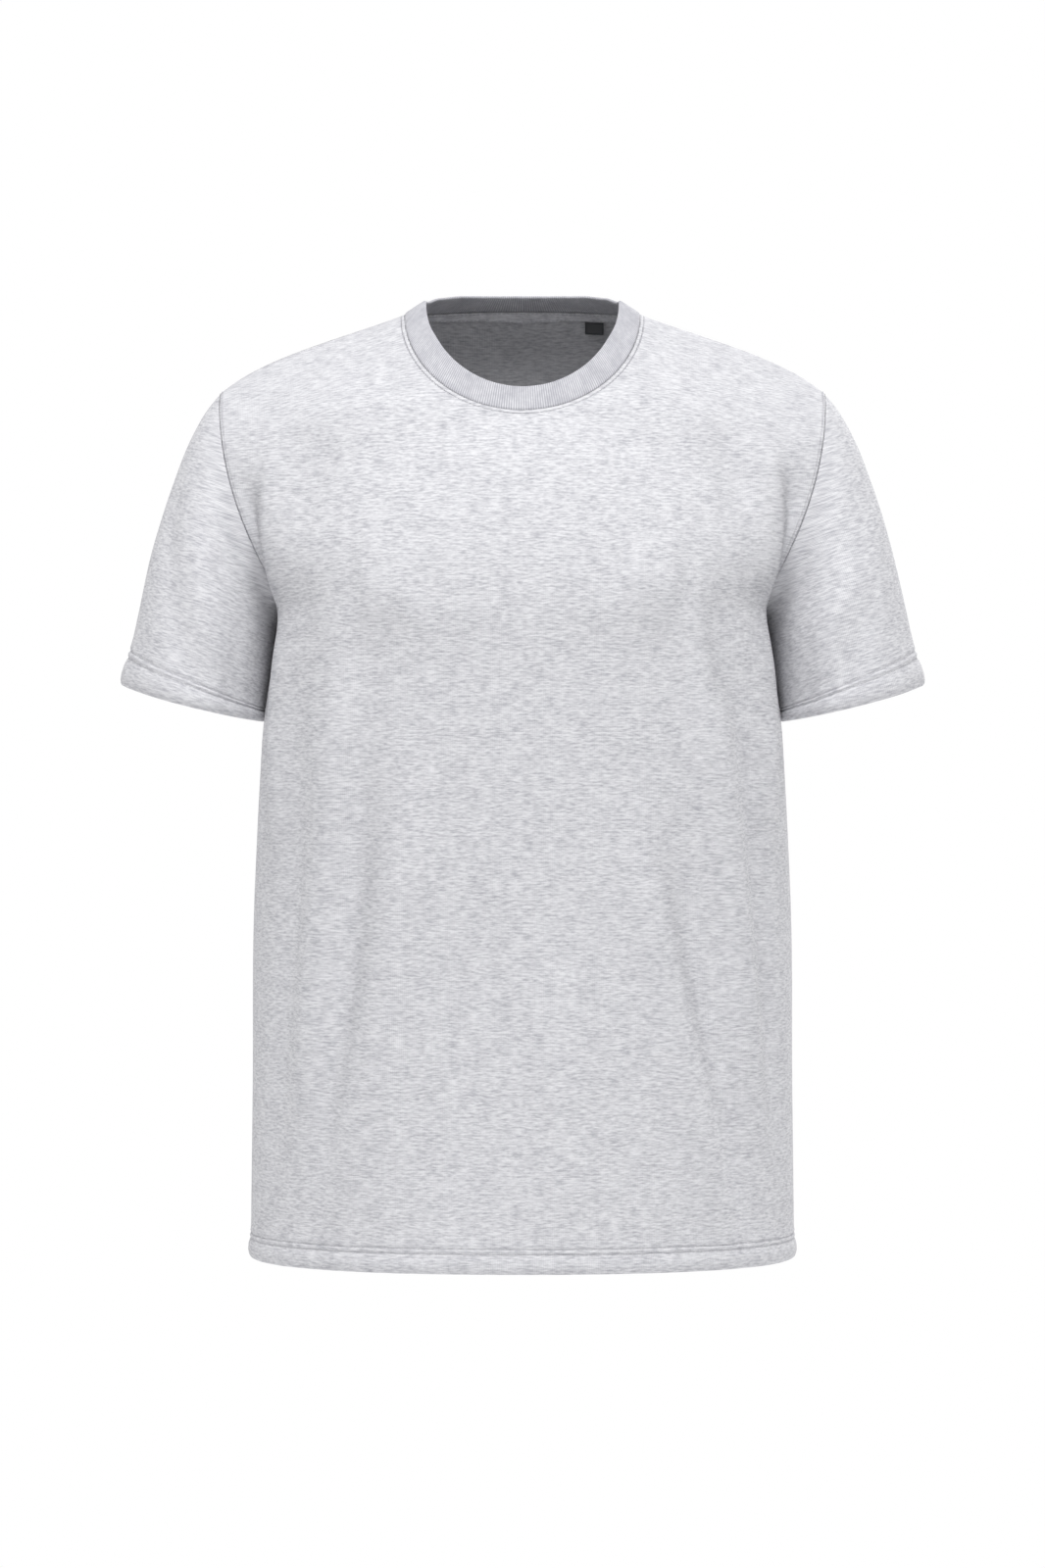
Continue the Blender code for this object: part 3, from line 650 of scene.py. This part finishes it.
# Folds of a sleeve, as (round the arm from its top towards the front, down from the armhole), in metres.
SLEEVE_FOLDS = dict(
    right=(
        dict(start=(0.090, -0.050), end=(0.078, -0.230), width=(0.050, 0.030), lift=0.0046, bow=0.003),
        dict(start=(0.026, -0.050), end=(0.112, -0.158), width=(0.016, 0.012), lift=-0.0030, bow=0.004),
        dict(start=(0.052, -0.040), end=(0.135, -0.126), width=(0.014, 0.018), lift=0.0022, bow=0.005),
        dict(start=(0.062, -0.118), end=(0.092, -0.200), width=(0.014, 0.014), lift=0.0016),
        dict(start=(0.120, -0.080), end=(0.142, -0.190), width=(0.012, 0.014), lift=-0.0022),
        dict(start=(0.000, -0.100), end=(0.020, -0.190), width=(0.018, 0.016), lift=-0.0014),
        dict(start=(-0.030, -0.050), end=(-0.110, -0.150), width=(0.014, 0.018), lift=-0.0026, bow=-0.004),
        dict(start=(-0.060, -0.050), end=(-0.130, -0.120), width=(0.018, 0.014), lift=0.0020, bow=-0.004),
        dict(start=(-0.064, -0.130), end=(-0.080, -0.200), width=(0.014, 0.016), lift=0.0014),
    ),
    left=(
        dict(start=(0.086, -0.040), end=(0.072, -0.230), width=(0.054, 0.030), lift=0.0056, bow=0.004),
        dict(start=(0.070, -0.090), end=(0.116, -0.160), width=(0.018, 0.013), lift=-0.0028, bow=0.003),
        dict(start=(0.030, -0.060), end=(0.084, -0.120), width=(0.016, 0.016), lift=0.0016, bow=0.004),
        dict(start=(0.092, -0.070), end=(0.134, -0.140), width=(0.014, 0.018), lift=0.0022, bow=0.004),
        dict(start=(0.070, -0.140), end=(0.086, -0.200), width=(0.016, 0.012), lift=0.0014),
        dict(start=(0.124, -0.090), end=(0.146, -0.190), width=(0.012, 0.014), lift=-0.0022),
        dict(start=(-0.004, -0.080), end=(0.012, -0.170), width=(0.018, 0.018), lift=-0.0012),
        dict(start=(-0.036, -0.060), end=(-0.116, -0.150), width=(0.018, 0.014), lift=-0.0028, bow=-0.005),
        dict(start=(-0.070, -0.050), end=(-0.134, -0.130), width=(0.014, 0.018), lift=0.0020, bow=-0.003),
        dict(start=(-0.052, -0.130), end=(-0.066, -0.200), width=(0.016, 0.014), lift=0.0012),
    ),
)


def even_angles(front):
    """The angles round the armhole of each yoke row's end, from the underarm up to the shoulder."""
    angle = np.linspace(np.pi, 0, SAMPLES) * (1 if front else -1)
    points = arm_ring(**ARM_RINGS[0], angle=angle)
    lengths = np.concatenate([[0], np.cumsum(np.linalg.norm(np.diff(points, axis=0), axis=1))])
    return np.interp(np.linspace(0, lengths[-1], YOKE_ROWS + 1), lengths, angle)


def sleeve_piece(side, folds):
    angle = np.concatenate([even_angles(True), even_angles(False)[::-1][1:-1]])
    middles = np.array([np.add(ring["top"], ring["under"]) / 2 for ring in ARM_RINGS])
    reach = np.concatenate([[0], np.cumsum(np.linalg.norm(np.diff(middles, axis=0), axis=1))])
    hem = [reach[-1] - row["up"] for row in HEM[::-1]]
    rows = []
    for at in [*np.linspace(0, hem[0], SLEEVE_ROWS, endpoint=False), *hem]:
        ring = {name: through(reach, column(ARM_RINGS, name), at) for name in ARM_RINGS[0]}
        rows.append(arm_ring(**ring, angle=angle))
    rows = np.array(rows)
    rows[0] = np.concatenate([armhole(True), armhole(False)[::-1][1:-1]])
    piece = Piece(rows * (side, 1, 1), -side, closed=True)
    down = np.concatenate([[0], np.cumsum(np.linalg.norm(np.diff(rows, axis=0), axis=2).mean(axis=1))])
    wrapped = np.concatenate([rows, rows[:, :1]], axis=1)
    # The sleeve is cut straight, so its courses run square to its length, up into its cap too.
    arm = unit(middles[-1] - middles[0])
    arm = np.array([arm[0], 0, arm[1]])
    steps = np.diff(wrapped, axis=1)
    steps = steps - (steps @ arm)[:, :, None] * arm
    around = np.cumsum(np.linalg.norm(steps, axis=2), axis=1)
    around = np.concatenate([np.zeros((len(rows), 1)), around], axis=1)
    around -= around[:, YOKE_ROWS : YOKE_ROWS + 1]
    piece.flat = np.stack([around * side, SLEEVE_CUT_AT * side - wrapped @ arm], axis=2)
    piece.from_seams = np.full_like(piece.flat, FAR_FROM_SEAMS)
    across = -around[:, :-1]
    height = np.broadcast_to(-down[:, None], across.shape)
    lift = fold_heights(folds, across, height) * smooth(*SLEEVE_FADE, -height)
    piece.rows = piece.rows + lift[:, :, None] * piece.normals
    piece.set_normals()
    return piece


sleeves = {name: sleeve_piece(side, SLEEVE_FOLDS[name]) for name, side in (("right", -1), ("left", 1))}


# ---- Neckband ----------------------------------------------------------------------------------------
# A strip of 1x1 rib knit, folded in two lengthwise, joined into a ring and sewn to the neckline a
# little stretched, so that it stands up round the neck. Its ribs run across the strip.

RIB_PITCH = 0.0017
BAND_CUT_AT = 0.7
BAND_RISE = 0.0024  # how much higher its fold stands behind the neck
BAND_ROLL = 0.0032  # how much lower it lies at the shoulders, where it rolls out
RISE_FROM = (0.62, 0.94)  # where these two fade, as parts of the way out to the shoulder
ROLL_FROM = (0.87, 1.0)
# The band in section, from its seam to its fold, as parts of its width.
BAND = (
    dict(part=0.000, outward=0.0004, inward=0.0010),
    dict(part=0.020, outward=0.0009, inward=0.0012),
    dict(part=0.050, outward=0.0013, inward=0.0014),
    dict(part=0.100, outward=0.0015, inward=0.0014),
    dict(part=0.250, outward=0.0016, inward=0.0014),
    dict(part=0.500, outward=0.0016, inward=0.0014),
    dict(part=0.750, outward=0.0015, inward=0.0014),
    dict(part=0.880, outward=0.0014, inward=0.0014),
    dict(part=0.940, outward=0.0013, inward=0.0013),
    dict(part=0.975, outward=0.0010, inward=0.0010),
    dict(part=0.993, outward=0.0006, inward=0.0006),
    dict(part=1.000, outward=0.0002, inward=0.0002),
)


def round_neck(name):
    """Half a neck curve, from the centre front round the shoulder to the centre back."""
    in_front, behind = (evenly(neck_curve(name, front), NECK_ROWS) for front in (True, False))
    return np.concatenate([in_front, behind[-2::-1]])


def band_piece(side):
    seam_line, edge = round_neck("seam"), round_neck("edge")
    reach = np.abs(edge[:, 0]) / np.abs(edge[:, 0]).max()
    edge[:, 2] -= BAND_ROLL * smooth(*ROLL_FROM, reach)
    edge[NECK_ROWS:, 2] += BAND_RISE * (1 - smooth(*RISE_FROM, reach[NECK_ROWS:]))
    parts = column(BAND, "part")
    rows = np.array([seam_line + (edge - seam_line) * part for part in parts]) * (side, 1, 1)
    piece = Piece(rows, side)
    middle = np.linalg.norm(np.diff(rows[len(BAND) // 2], axis=0), axis=1)
    along = np.concatenate([[0], np.cumsum(middle)]) * side
    width = np.linalg.norm(edge - seam_line, axis=1)
    up = np.outer(parts, width) + BAND_CUT_AT
    piece.flat = np.stack([np.broadcast_to(along, rows.shape[:2]), up], axis=2)
    piece.from_seams = np.full_like(piece.flat, FAR_FROM_SEAMS)
    piece.normals[:, (0, -1), 0] = 0
    piece.normals = unit(piece.normals)
    return piece


band_right, band_left = band_piece(-1), band_piece(1)

seams = {}
for name, front, back, band in (
    ("right", front_right, back_right, band_right),
    ("left", front_left, back_left, band_left),
):
    arm = sleeves[name]
    below, top = (slice(0, UNDERARM + 1), -1), (LAST, slice(None))
    side, neck = (slice(UNDERARM, LAST + 1), -1), (slice(NECK, LAST + 1), 0)
    up_front = np.arange(YOKE_ROWS + 1)
    up_back = np.arange(2 * YOKE_ROWS, YOKE_ROWS - 1, -1) % (2 * YOKE_ROWS)
    seams[name] = dict(
        side=seam(front, below, back, below),
        shoulder=seam(front, top, back, top),
        armhole_front=seam(front, side, arm, (0, up_front)),
        armhole_back=seam(back, side, arm, (0, up_back)),
        neck_front=seam(front, neck, band, (0, np.arange(NECK_ROWS + 1))),
        neck_back=seam(back, neck, band, (0, np.arange(2 * NECK_ROWS, NECK_ROWS - 1, -1))),
    )
    corner((front, (UNDERARM, -1)), (back, (UNDERARM, -1)), (arm, (0, 0)))
    corner((front, (LAST, -1)), (back, (LAST, -1)), (arm, (0, YOKE_ROWS)))
    corner((front, (LAST, 0)), (back, (LAST, 0)), (band, (0, NECK_ROWS)))

for right, left, at in (
    (front_right, front_left, (slice(0, NECK + 1), 0)),
    (back_right, back_left, (slice(0, NECK + 1), 0)),
    (band_right, band_left, (slice(None), 0)),
    (band_right, band_left, (slice(None), -1)),
):
    share(right, left, at)

# The two faces of each row. A sleeve's outer face is drawn in where it meets the armhole.
DRAWN_IN = [0.0002, 0.0005]
plain = [JERSEY / 2]
panel_faces = [column(HEM, face) + plain * (LAST + 1 - len(HEM)) for face in ("outward", "inward")]
sleeve_faces = [
    DRAWN_IN + plain * (SLEEVE_ROWS - 2) + column(HEM, "outward")[::-1],
    plain * SLEEVE_ROWS + column(HEM, "inward")[::-1],
]
across = COLUMNS + 1
panel_rim = [(0, c) for c in range(across)] + [(r, across - 1) for r in range(1, LAST + 1)]
panel_rim += [(LAST, c) for c in range(across - 2, -1, -1)] + [(r, 0) for r in range(LAST - 1, NECK - 1, -1)]
panel_nodes = {
    "front": (front_right, front_left),
    "back": (back_right, back_left),
}
for name, halves in panel_nodes.items():
    made = cloth(name + "_panel", halves, [panel_faces] * 2, [[panel_rim]] * 2, jersey)
    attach(made, "root")
    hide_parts(name)
sleeve_rims = [[(r, c) for c in range(2 * YOKE_ROWS + 1)] for r in (0, SLEEVE_ROWS + len(HEM) - 1)]
for name, piece in sleeves.items():
    made = cloth("sleeve_" + name + "_cloth", [piece], [sleeve_faces], [sleeve_rims], jersey)
    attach(made, "root")
    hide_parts("sleeve_" + name)


# Rib knit of the same yarn. Its ribs are 1.7 mm apart, with painted shade, a darker colour, in the furrow
# between them.
def rib_knit(name, pale, grey, furrow_shade_colour):
    material, tree, shader = new_material(name)
    cut = node(tree, "ShaderNodeUVMap", dict(uv_map="Cut")).outputs["UV"]
    across = node(tree, "ShaderNodeSeparateXYZ", Vector=cut).outputs[0]
    wave = maths(tree, "COSINE", maths(tree, "MULTIPLY", across, 2 * math.pi / RIB_PITCH))
    rib = node(tree, "ShaderNodeMapRange", Value=wave, From_Min=-1.0, From_Max=0.4).outputs[0]
    flecks = noise(tree, cut, (240, 200, 1), 3.0, 0.6)
    fleck = mixed(tree, "FLOAT", 0.4, flecks, noise(tree, cut, (60, 60, 1), 1.0))
    fleck = node(tree, "ShaderNodeMapRange", Value=fleck, From_Min=0.35, From_Max=0.65).outputs[0]
    yarn = mixed(tree, "RGBA", fleck, linear(grey), linear(pale))
    # Painted shade: the furrow colour is mixed in between the ribs.
    painted_furrow_shade = mixed(tree, "RGBA", rib, linear(furrow_shade_colour), yarn)
    relief = maths(tree, "MULTIPLY_ADD", flecks, 0.5, wave)
    bump = node(tree, "ShaderNodeBump", Strength=0.4, Distance=0.00022, Height=relief)
    connect(tree, shader, Base_Color=painted_furrow_shade, Normal=bump.outputs["Normal"], Sheen_Weight=0.10, **COTTON)
    return material


# The last colour is the painted shade of the furrows between the ribs.
rib = rib_knit("Heather grey 1x1 rib", "#C6C6CA", "#A8A8AE", "#94949B")
band_faces = [column(BAND, "outward"), column(BAND, "inward")]
band_rims = [[(r, c) for c in range(2 * NECK_ROWS + 1)] for r in (0, len(BAND) - 1)]
band_halves = (band_right, band_left)
band = cloth("rib_neckband", band_halves, [band_faces] * 2, [band_rims] * 2, rib)
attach(band, "root")
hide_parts("neckband")


# ---- Neck tape and size label ------------------------------------------------------------------------
# A strip of a paler jersey covers the back neck seam from shoulder to shoulder, stitched along both
# edges. A small black woven label hangs from it on the wearer's left, without any mark.

TAPE_WIDTH = 0.011
TAPE_FROM_SEAM = 0.0006
TAPE_LIFT = 0.0005  # how far it lies off the back panel's inside
TAPE_THICK = 0.0011
TAPE_ROWS = 57
TAPE_COLUMNS = 9
TAPE_STITCHED = (1, 7)  # the columns where its two rows of stitches are
LABEL_AT = (0.35, 0.455)  # its two sides, as parts of the way from the neckline's centre to its end
LABEL_LIFT = 0.0022
LABEL_LENGTH = 0.0095
LABEL_THICK = 0.0008
LABEL_ROWS = 7
LABEL_COLUMNS = 9


def yoke_inside(halves):
    """The inner face of a panel's two halves above the underarms, to find the nearest places on it."""
    points = [(half.rows + half.shift - JERSEY / 2 * half.normals)[UNDERARM:] for half in halves]
    points = np.concatenate(points).reshape(-1, 3)
    place = np.arange(len(points)).reshape(len(halves), YOKE_ROWS + 1, COLUMNS + 1)
    rings = [place[:, :-1, :-1], place[:, :-1, 1:], place[:, 1:, 1:], place[:, 1:, :-1]]
    return BVHTree.FromPolygons(points.tolist(), np.stack(rings, axis=-1).reshape(-1, 4).tolist())


def inside_strip(inside, half, at, distances, lift, thickness):
    """A piece lying on the back's inside, at these parts of half its neckline and this far down from it."""
    neckline, outwards = (half.rows + half.shift)[NECK:, 0], half.normals[NECK:, 0]
    tangent = unit(np.gradient(neckline, axis=0))
    tangent[0] = (1, 0, 0)
    down = np.cross(tangent, outwards)
    down *= -np.sign(down[:, 2:])
    place = np.array(at) * NECK_ROWS
    start, way, outside = (
        np.stack([np.interp(place, range(NECK_ROWS + 1), line[:, k]) for k in range(3)], axis=1)
        for line in (neckline, down, outwards)
    )
    rows = []
    for spot in range(len(place)):
        found = [inside.find_nearest((start[spot] + way[spot] * d).tolist())[:2] for d in distances]
        spots, inwards = (np.array([list(pair[k]) for pair in found]) for k in (0, 1))
        inwards *= -np.sign(inwards @ outside[spot])[:, None]
        inwards = unit(inwards + inwards.mean(axis=0))
        rows.append(spots + inwards * (lift + thickness / 2))
    rows = np.array(rows)
    if place[0] == 0:
        rows[0, :, 0] = 0
    piece = Piece(rows, 1)
    if (piece.normals[0, 0] * outside[0]).sum() < 0:
        piece.normals *= -1
    return piece


def strip_rims(rows, columns, mirrored):
    """The edges of a strip's grid. A mirrored one has none on its first row, where the halves meet."""
    rim = [(r, 0) for r in range(rows)] + [(rows - 1, c) for c in range(1, columns)]
    rim += [(r, columns - 1) for r in range(rows - 2, -1, -1)]
    return rim if mirrored else rim + [(0, c) for c in range(columns - 2, -1, -1)]


back_inside = yoke_inside((back_right, back_left))
tape_across = TAPE_FROM_SEAM + np.linspace(0, TAPE_WIDTH, TAPE_COLUMNS)
tape_along = np.linspace(0, 1, TAPE_ROWS)
tape_halves = [
    inside_strip(back_inside, half, tape_along, tape_across, TAPE_LIFT, TAPE_THICK)
    for half in (back_right, back_left)
]
share(*tape_halves, (0, slice(None)))
tape_faces = [[TAPE_THICK / 2] * TAPE_ROWS] * 2
tape_rims = [strip_rims(TAPE_ROWS, TAPE_COLUMNS, True)]
tape_cloth = heather("Heather grey neck tape", "#E4E4E8", "#D4D4D8", "#B8B8BE")
tape = cloth("neck_tape_cloth", tape_halves, [tape_faces] * 2, [tape_rims] * 2, tape_cloth)
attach(tape, "root")
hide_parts("neck_tape")

# The label's top edge is a strip's first column. The second only gives the strip its way down.
label_along = np.linspace(*LABEL_AT, LABEL_COLUMNS)
label_across = TAPE_FROM_SEAM + TAPE_WIDTH + np.array([0, 0.001])
label_top = inside_strip(back_inside, back_left, label_along, label_across, LABEL_LIFT, 0).rows[:, :1]
label_down = np.linspace(0, LABEL_LENGTH, LABEL_ROWS)
label_piece = Piece(label_top - np.multiply.outer(label_down, (0, 0, 1)), 1)
label_faces = [[LABEL_THICK / 2] * LABEL_COLUMNS] * 2
label_rims = [strip_rims(LABEL_COLUMNS, LABEL_ROWS, False)]


# Polyester, as a black satin woven tight for the label and as a grey thread spun from short fibres.
def polyester(name, dark, pale, per_metre, detail, strength, distance, roughness):
    material, tree, shader = new_material(name)
    place = node(tree, "ShaderNodeTexCoord").outputs["Object"]
    fibres = noise(tree, place, per_metre, detail)
    tint = mixed(tree, "RGBA", fibres, linear(dark), linear(pale))
    bump = node(tree, "ShaderNodeBump", Strength=strength, Distance=distance, Height=fibres)
    connect(tree, shader, Base_Color=tint, Normal=bump.outputs["Normal"], Roughness=roughness, IOR=1.5)
    return material


satin = polyester("Black woven satin", "#232428", "#4A4B50", (2500, 2500, 5200), 1.0, 0.3, 0.0001, 0.5)
label = cloth("woven_size_label", [label_piece], [label_faces], [label_rims], satin)
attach(label, "root")
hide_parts("size_label")


# ---- Stitching ---------------------------------------------------------------------------------------
# Spun polyester thread, grey, drawn a little darker than the cloth: part of its darkness is painted shade of
# the grooves the stitches lie in. Hems have two rows of coverstitch. The neckline and the armholes have one
# row of topstitch. The stitches sink into the knit at both ends.

STITCH = 0.0027
STITCH_GAP = 0.0006
THREAD = 0.00024
RINGS = 6  # a stitch's rings of points from end to end, and the points of each
SIDES = 5
NECK_STITCH = 0.0036  # how far a row of stitches is from its seam
ARMHOLE_STITCH = 0.0022

# Painted shade: these thread colours are darker than the light grey thread, for the shade in the stitch
# grooves.
thread_with_painted_shade = polyester(
    "Grey polyester thread", "#A4A4AB", "#BDBDC3", (2600, 2600, 2600), 2.0, 0.4, 0.00005, 0.6
)


def stitches(name, lines):
    """Separate stitches along lines, each a list of points on the cloth's face with its normals."""
    ends = np.linspace(0, 1, RINGS)
    turns = np.linspace(0, 2 * np.pi, SIDES + 1)[:-1]
    points, faces = [], []
    for line, normals in lines:
        lengths = np.concatenate([[0], np.cumsum(np.linalg.norm(np.diff(line, axis=0), axis=1))])
        count = int(lengths[-1] / (STITCH + STITCH_GAP))
        starts = np.linspace(0, lengths[-1], count, endpoint=False)
        at = starts[:, None] + ends * STITCH
        place = np.stack([np.interp(at, lengths, line[:, k]) for k in range(3)], axis=2)
        up = unit(np.stack([np.interp(at, lengths, normals[:, k]) for k in range(3)], axis=2))
        along = unit(np.gradient(place, axis=1))
        sideways = np.cross(along, up)
        # The thread comes up out of the cloth, arches over it and goes back in, thinner at both ends.
        arch = np.sin(np.pi * ends)[None, :, None] ** 0.5
        middle = place + up * (arch * 1.5 - 0.9) * THREAD
        round_it = np.cos(turns)[:, None] * sideways[:, :, None] + np.sin(turns)[:, None] * up[:, :, None]
        rings = middle[:, :, None] + round_it * THREAD * (0.45 + 0.55 * arch[:, :, None])
        base = sum(len(stitch_points) for stitch_points in points)
        points.append(rings.reshape(-1, 3))
        for first in range(base, base + count * RINGS * SIDES, RINGS * SIDES):
            last = first + (RINGS - 1) * SIDES
            for start in range(first, last, SIDES):
                for k in range(SIDES):
                    a, b = start + k, start + (k + 1) % SIDES
                    faces.append((a, b, b + SIDES, a + SIDES))
            faces.append([first + k for k in range(SIDES - 1, -1, -1)])
            faces.append([last + k for k in range(SIDES)])
    mesh = bpy.data.meshes.new(name)
    mesh.from_pydata(np.concatenate(points).tolist(), [], faces)
    mesh.shade_smooth()
    mesh.materials.append(thread_with_painted_shade)
    made = bpy.data.objects.new(name, mesh)
    bpy.context.scene.collection.objects.link(made)
    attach(made, "root")


def row_line(piece, row, outward):
    """The line of a row on a piece's outer face."""
    points, normals = piece.rows[row] + piece.shift[row], piece.normals[row]
    if piece.closed:
        points, normals = (np.concatenate([a, a[:1]]) for a in (points, normals))
    return points + outward * normals, normals


def beside(seam_line, distance, outward):
    """A line on the cloth beside a seam, at a distance on the side of the first piece of the seam."""
    points, normals, across = seam_line
    return points + across * distance + normals * outward, normals


for name, halves in panel_nodes.items():
    lines = [row_line(half, row, HEM[row]["outward"]) for half in halves for row in NEEDLE_ROWS]
    stitches("hem_stitches_" + name, lines)
for name, piece in sleeves.items():
    last = len(piece.rows) - 1
    lines = [row_line(piece, last - row, HEM[row]["outward"]) for row in NEEDLE_ROWS]
    stitches("cuff_stitches_" + name, lines)
for name, lines in seams.items():
    for place, distance in (("armhole", ARMHOLE_STITCH), ("neck", NECK_STITCH)):
        both = [beside(lines[place + part], distance, JERSEY / 2) for part in ("_front", "_back")]
        stitches(place + "_stitches_" + name, both)
tape_lines = []
for half in tape_halves:
    for edge in TAPE_STITCHED:
        inwards = -half.normals[:, edge]
        tape_lines.append((half.rows[:, edge] + inwards * TAPE_THICK / 2, inwards))
stitches("tape_stitches", tape_lines)


# ---- Studio ------------------------------------------------------------------------------------------
# A pale floor well below the shirt, white surroundings, and large soft lamps above, low in front,
# behind and at both sides.

FLOOR_Z = -1.5
FLOOR_RADIUS = 2.4
FLOOR_SIDES = 64
floor_mesh = bpy.data.meshes.new("floor")
around = np.linspace(0, 2 * np.pi, FLOOR_SIDES + 1)[:-1]
edge = [(FLOOR_RADIUS * math.cos(a), FLOOR_RADIUS * math.sin(a), FLOOR_Z) for a in around]
floor_mesh.from_pydata(edge, [], [list(range(FLOOR_SIDES))])
floor = bpy.data.objects.new("floor", floor_mesh)
bpy.context.scene.collection.objects.link(floor)
paint, tree, shader = new_material("Matt white studio paint")
connect(tree, shader, Base_Color=linear("#E6E6E6"), Roughness=0.9)
floor_mesh.materials.append(paint)

# The surroundings look white, and light the cloth less than the lamps do, so that its folds show.
world = bpy.data.worlds.new("White surroundings")
bpy.context.scene.world = world
world.use_nodes = True
sky = world.node_tree
seen = sky.nodes["Background"]
connect(sky, seen, Color=(1, 1, 1, 1))
fill = node(sky, "ShaderNodeBackground", Color=(1, 1, 1, 1), Strength=0.56)
straight = node(sky, "ShaderNodeLightPath").outputs["Is Camera Ray"]
either = node(sky, "ShaderNodeMixShader", _0=straight, _1=fill.outputs[0], _2=seen.outputs[0])
connect(sky, sky.nodes["World Output"], Surface=either.outputs[0])


def lamp(name, place, target, size, watts):
    data = bpy.data.lights.new(name, "AREA")
    data.shape = "RECTANGLE"
    data.size, data.size_y = size
    data.energy = watts
    made = bpy.data.objects.new(name, data)
    bpy.context.scene.collection.objects.link(made)
    made.location = place
    made.visible_camera = False
    direction = np.subtract(target, place)
    yaw = math.atan2(direction[1], direction[0]) - math.pi / 2
    pitch = math.atan2(direction[2], math.hypot(direction[0], direction[1]))
    made.rotation_euler = (math.pi / 2 + pitch, 0, yaw)


lamp("Top softbox", (0.0, -1.3, 1.9), (0.0, 0.0, -0.25), (1.4, 0.9), 61)
lamp("Low softbox", (0.0, -2.2, -1.25), (0.0, 0.0, -0.40), (0.8, 0.4), 13)
lamp("Back softbox", (0.9, 2.1, 0.7), (0.0, 0.0, -0.3), (0.9, 0.9), 26)
lamp("Left softbox", (-2.3, 0.8, -0.3), (0.0, 0.0, -0.35), (0.6, 1.6), 14)
lamp("Right softbox", (2.3, 0.8, -0.3), (0.0, 0.0, -0.35), (0.6, 1.6), 17)

camera_data = bpy.data.cameras.new("Camera")
camera_data.sensor_fit = "VERTICAL"
camera_data.sensor_height = 36
camera_data.lens = 104.3
camera = bpy.data.objects.new("Camera", camera_data)
bpy.context.scene.collection.objects.link(camera)
camera.location = (0.0, -3.5, -0.364)
camera.rotation_euler = (math.pi / 2, 0, 0)
bpy.context.scene.camera = camera
bpy.context.scene.view_settings.view_transform = "Standard"
bpy.context.scene.view_settings.look = "None"
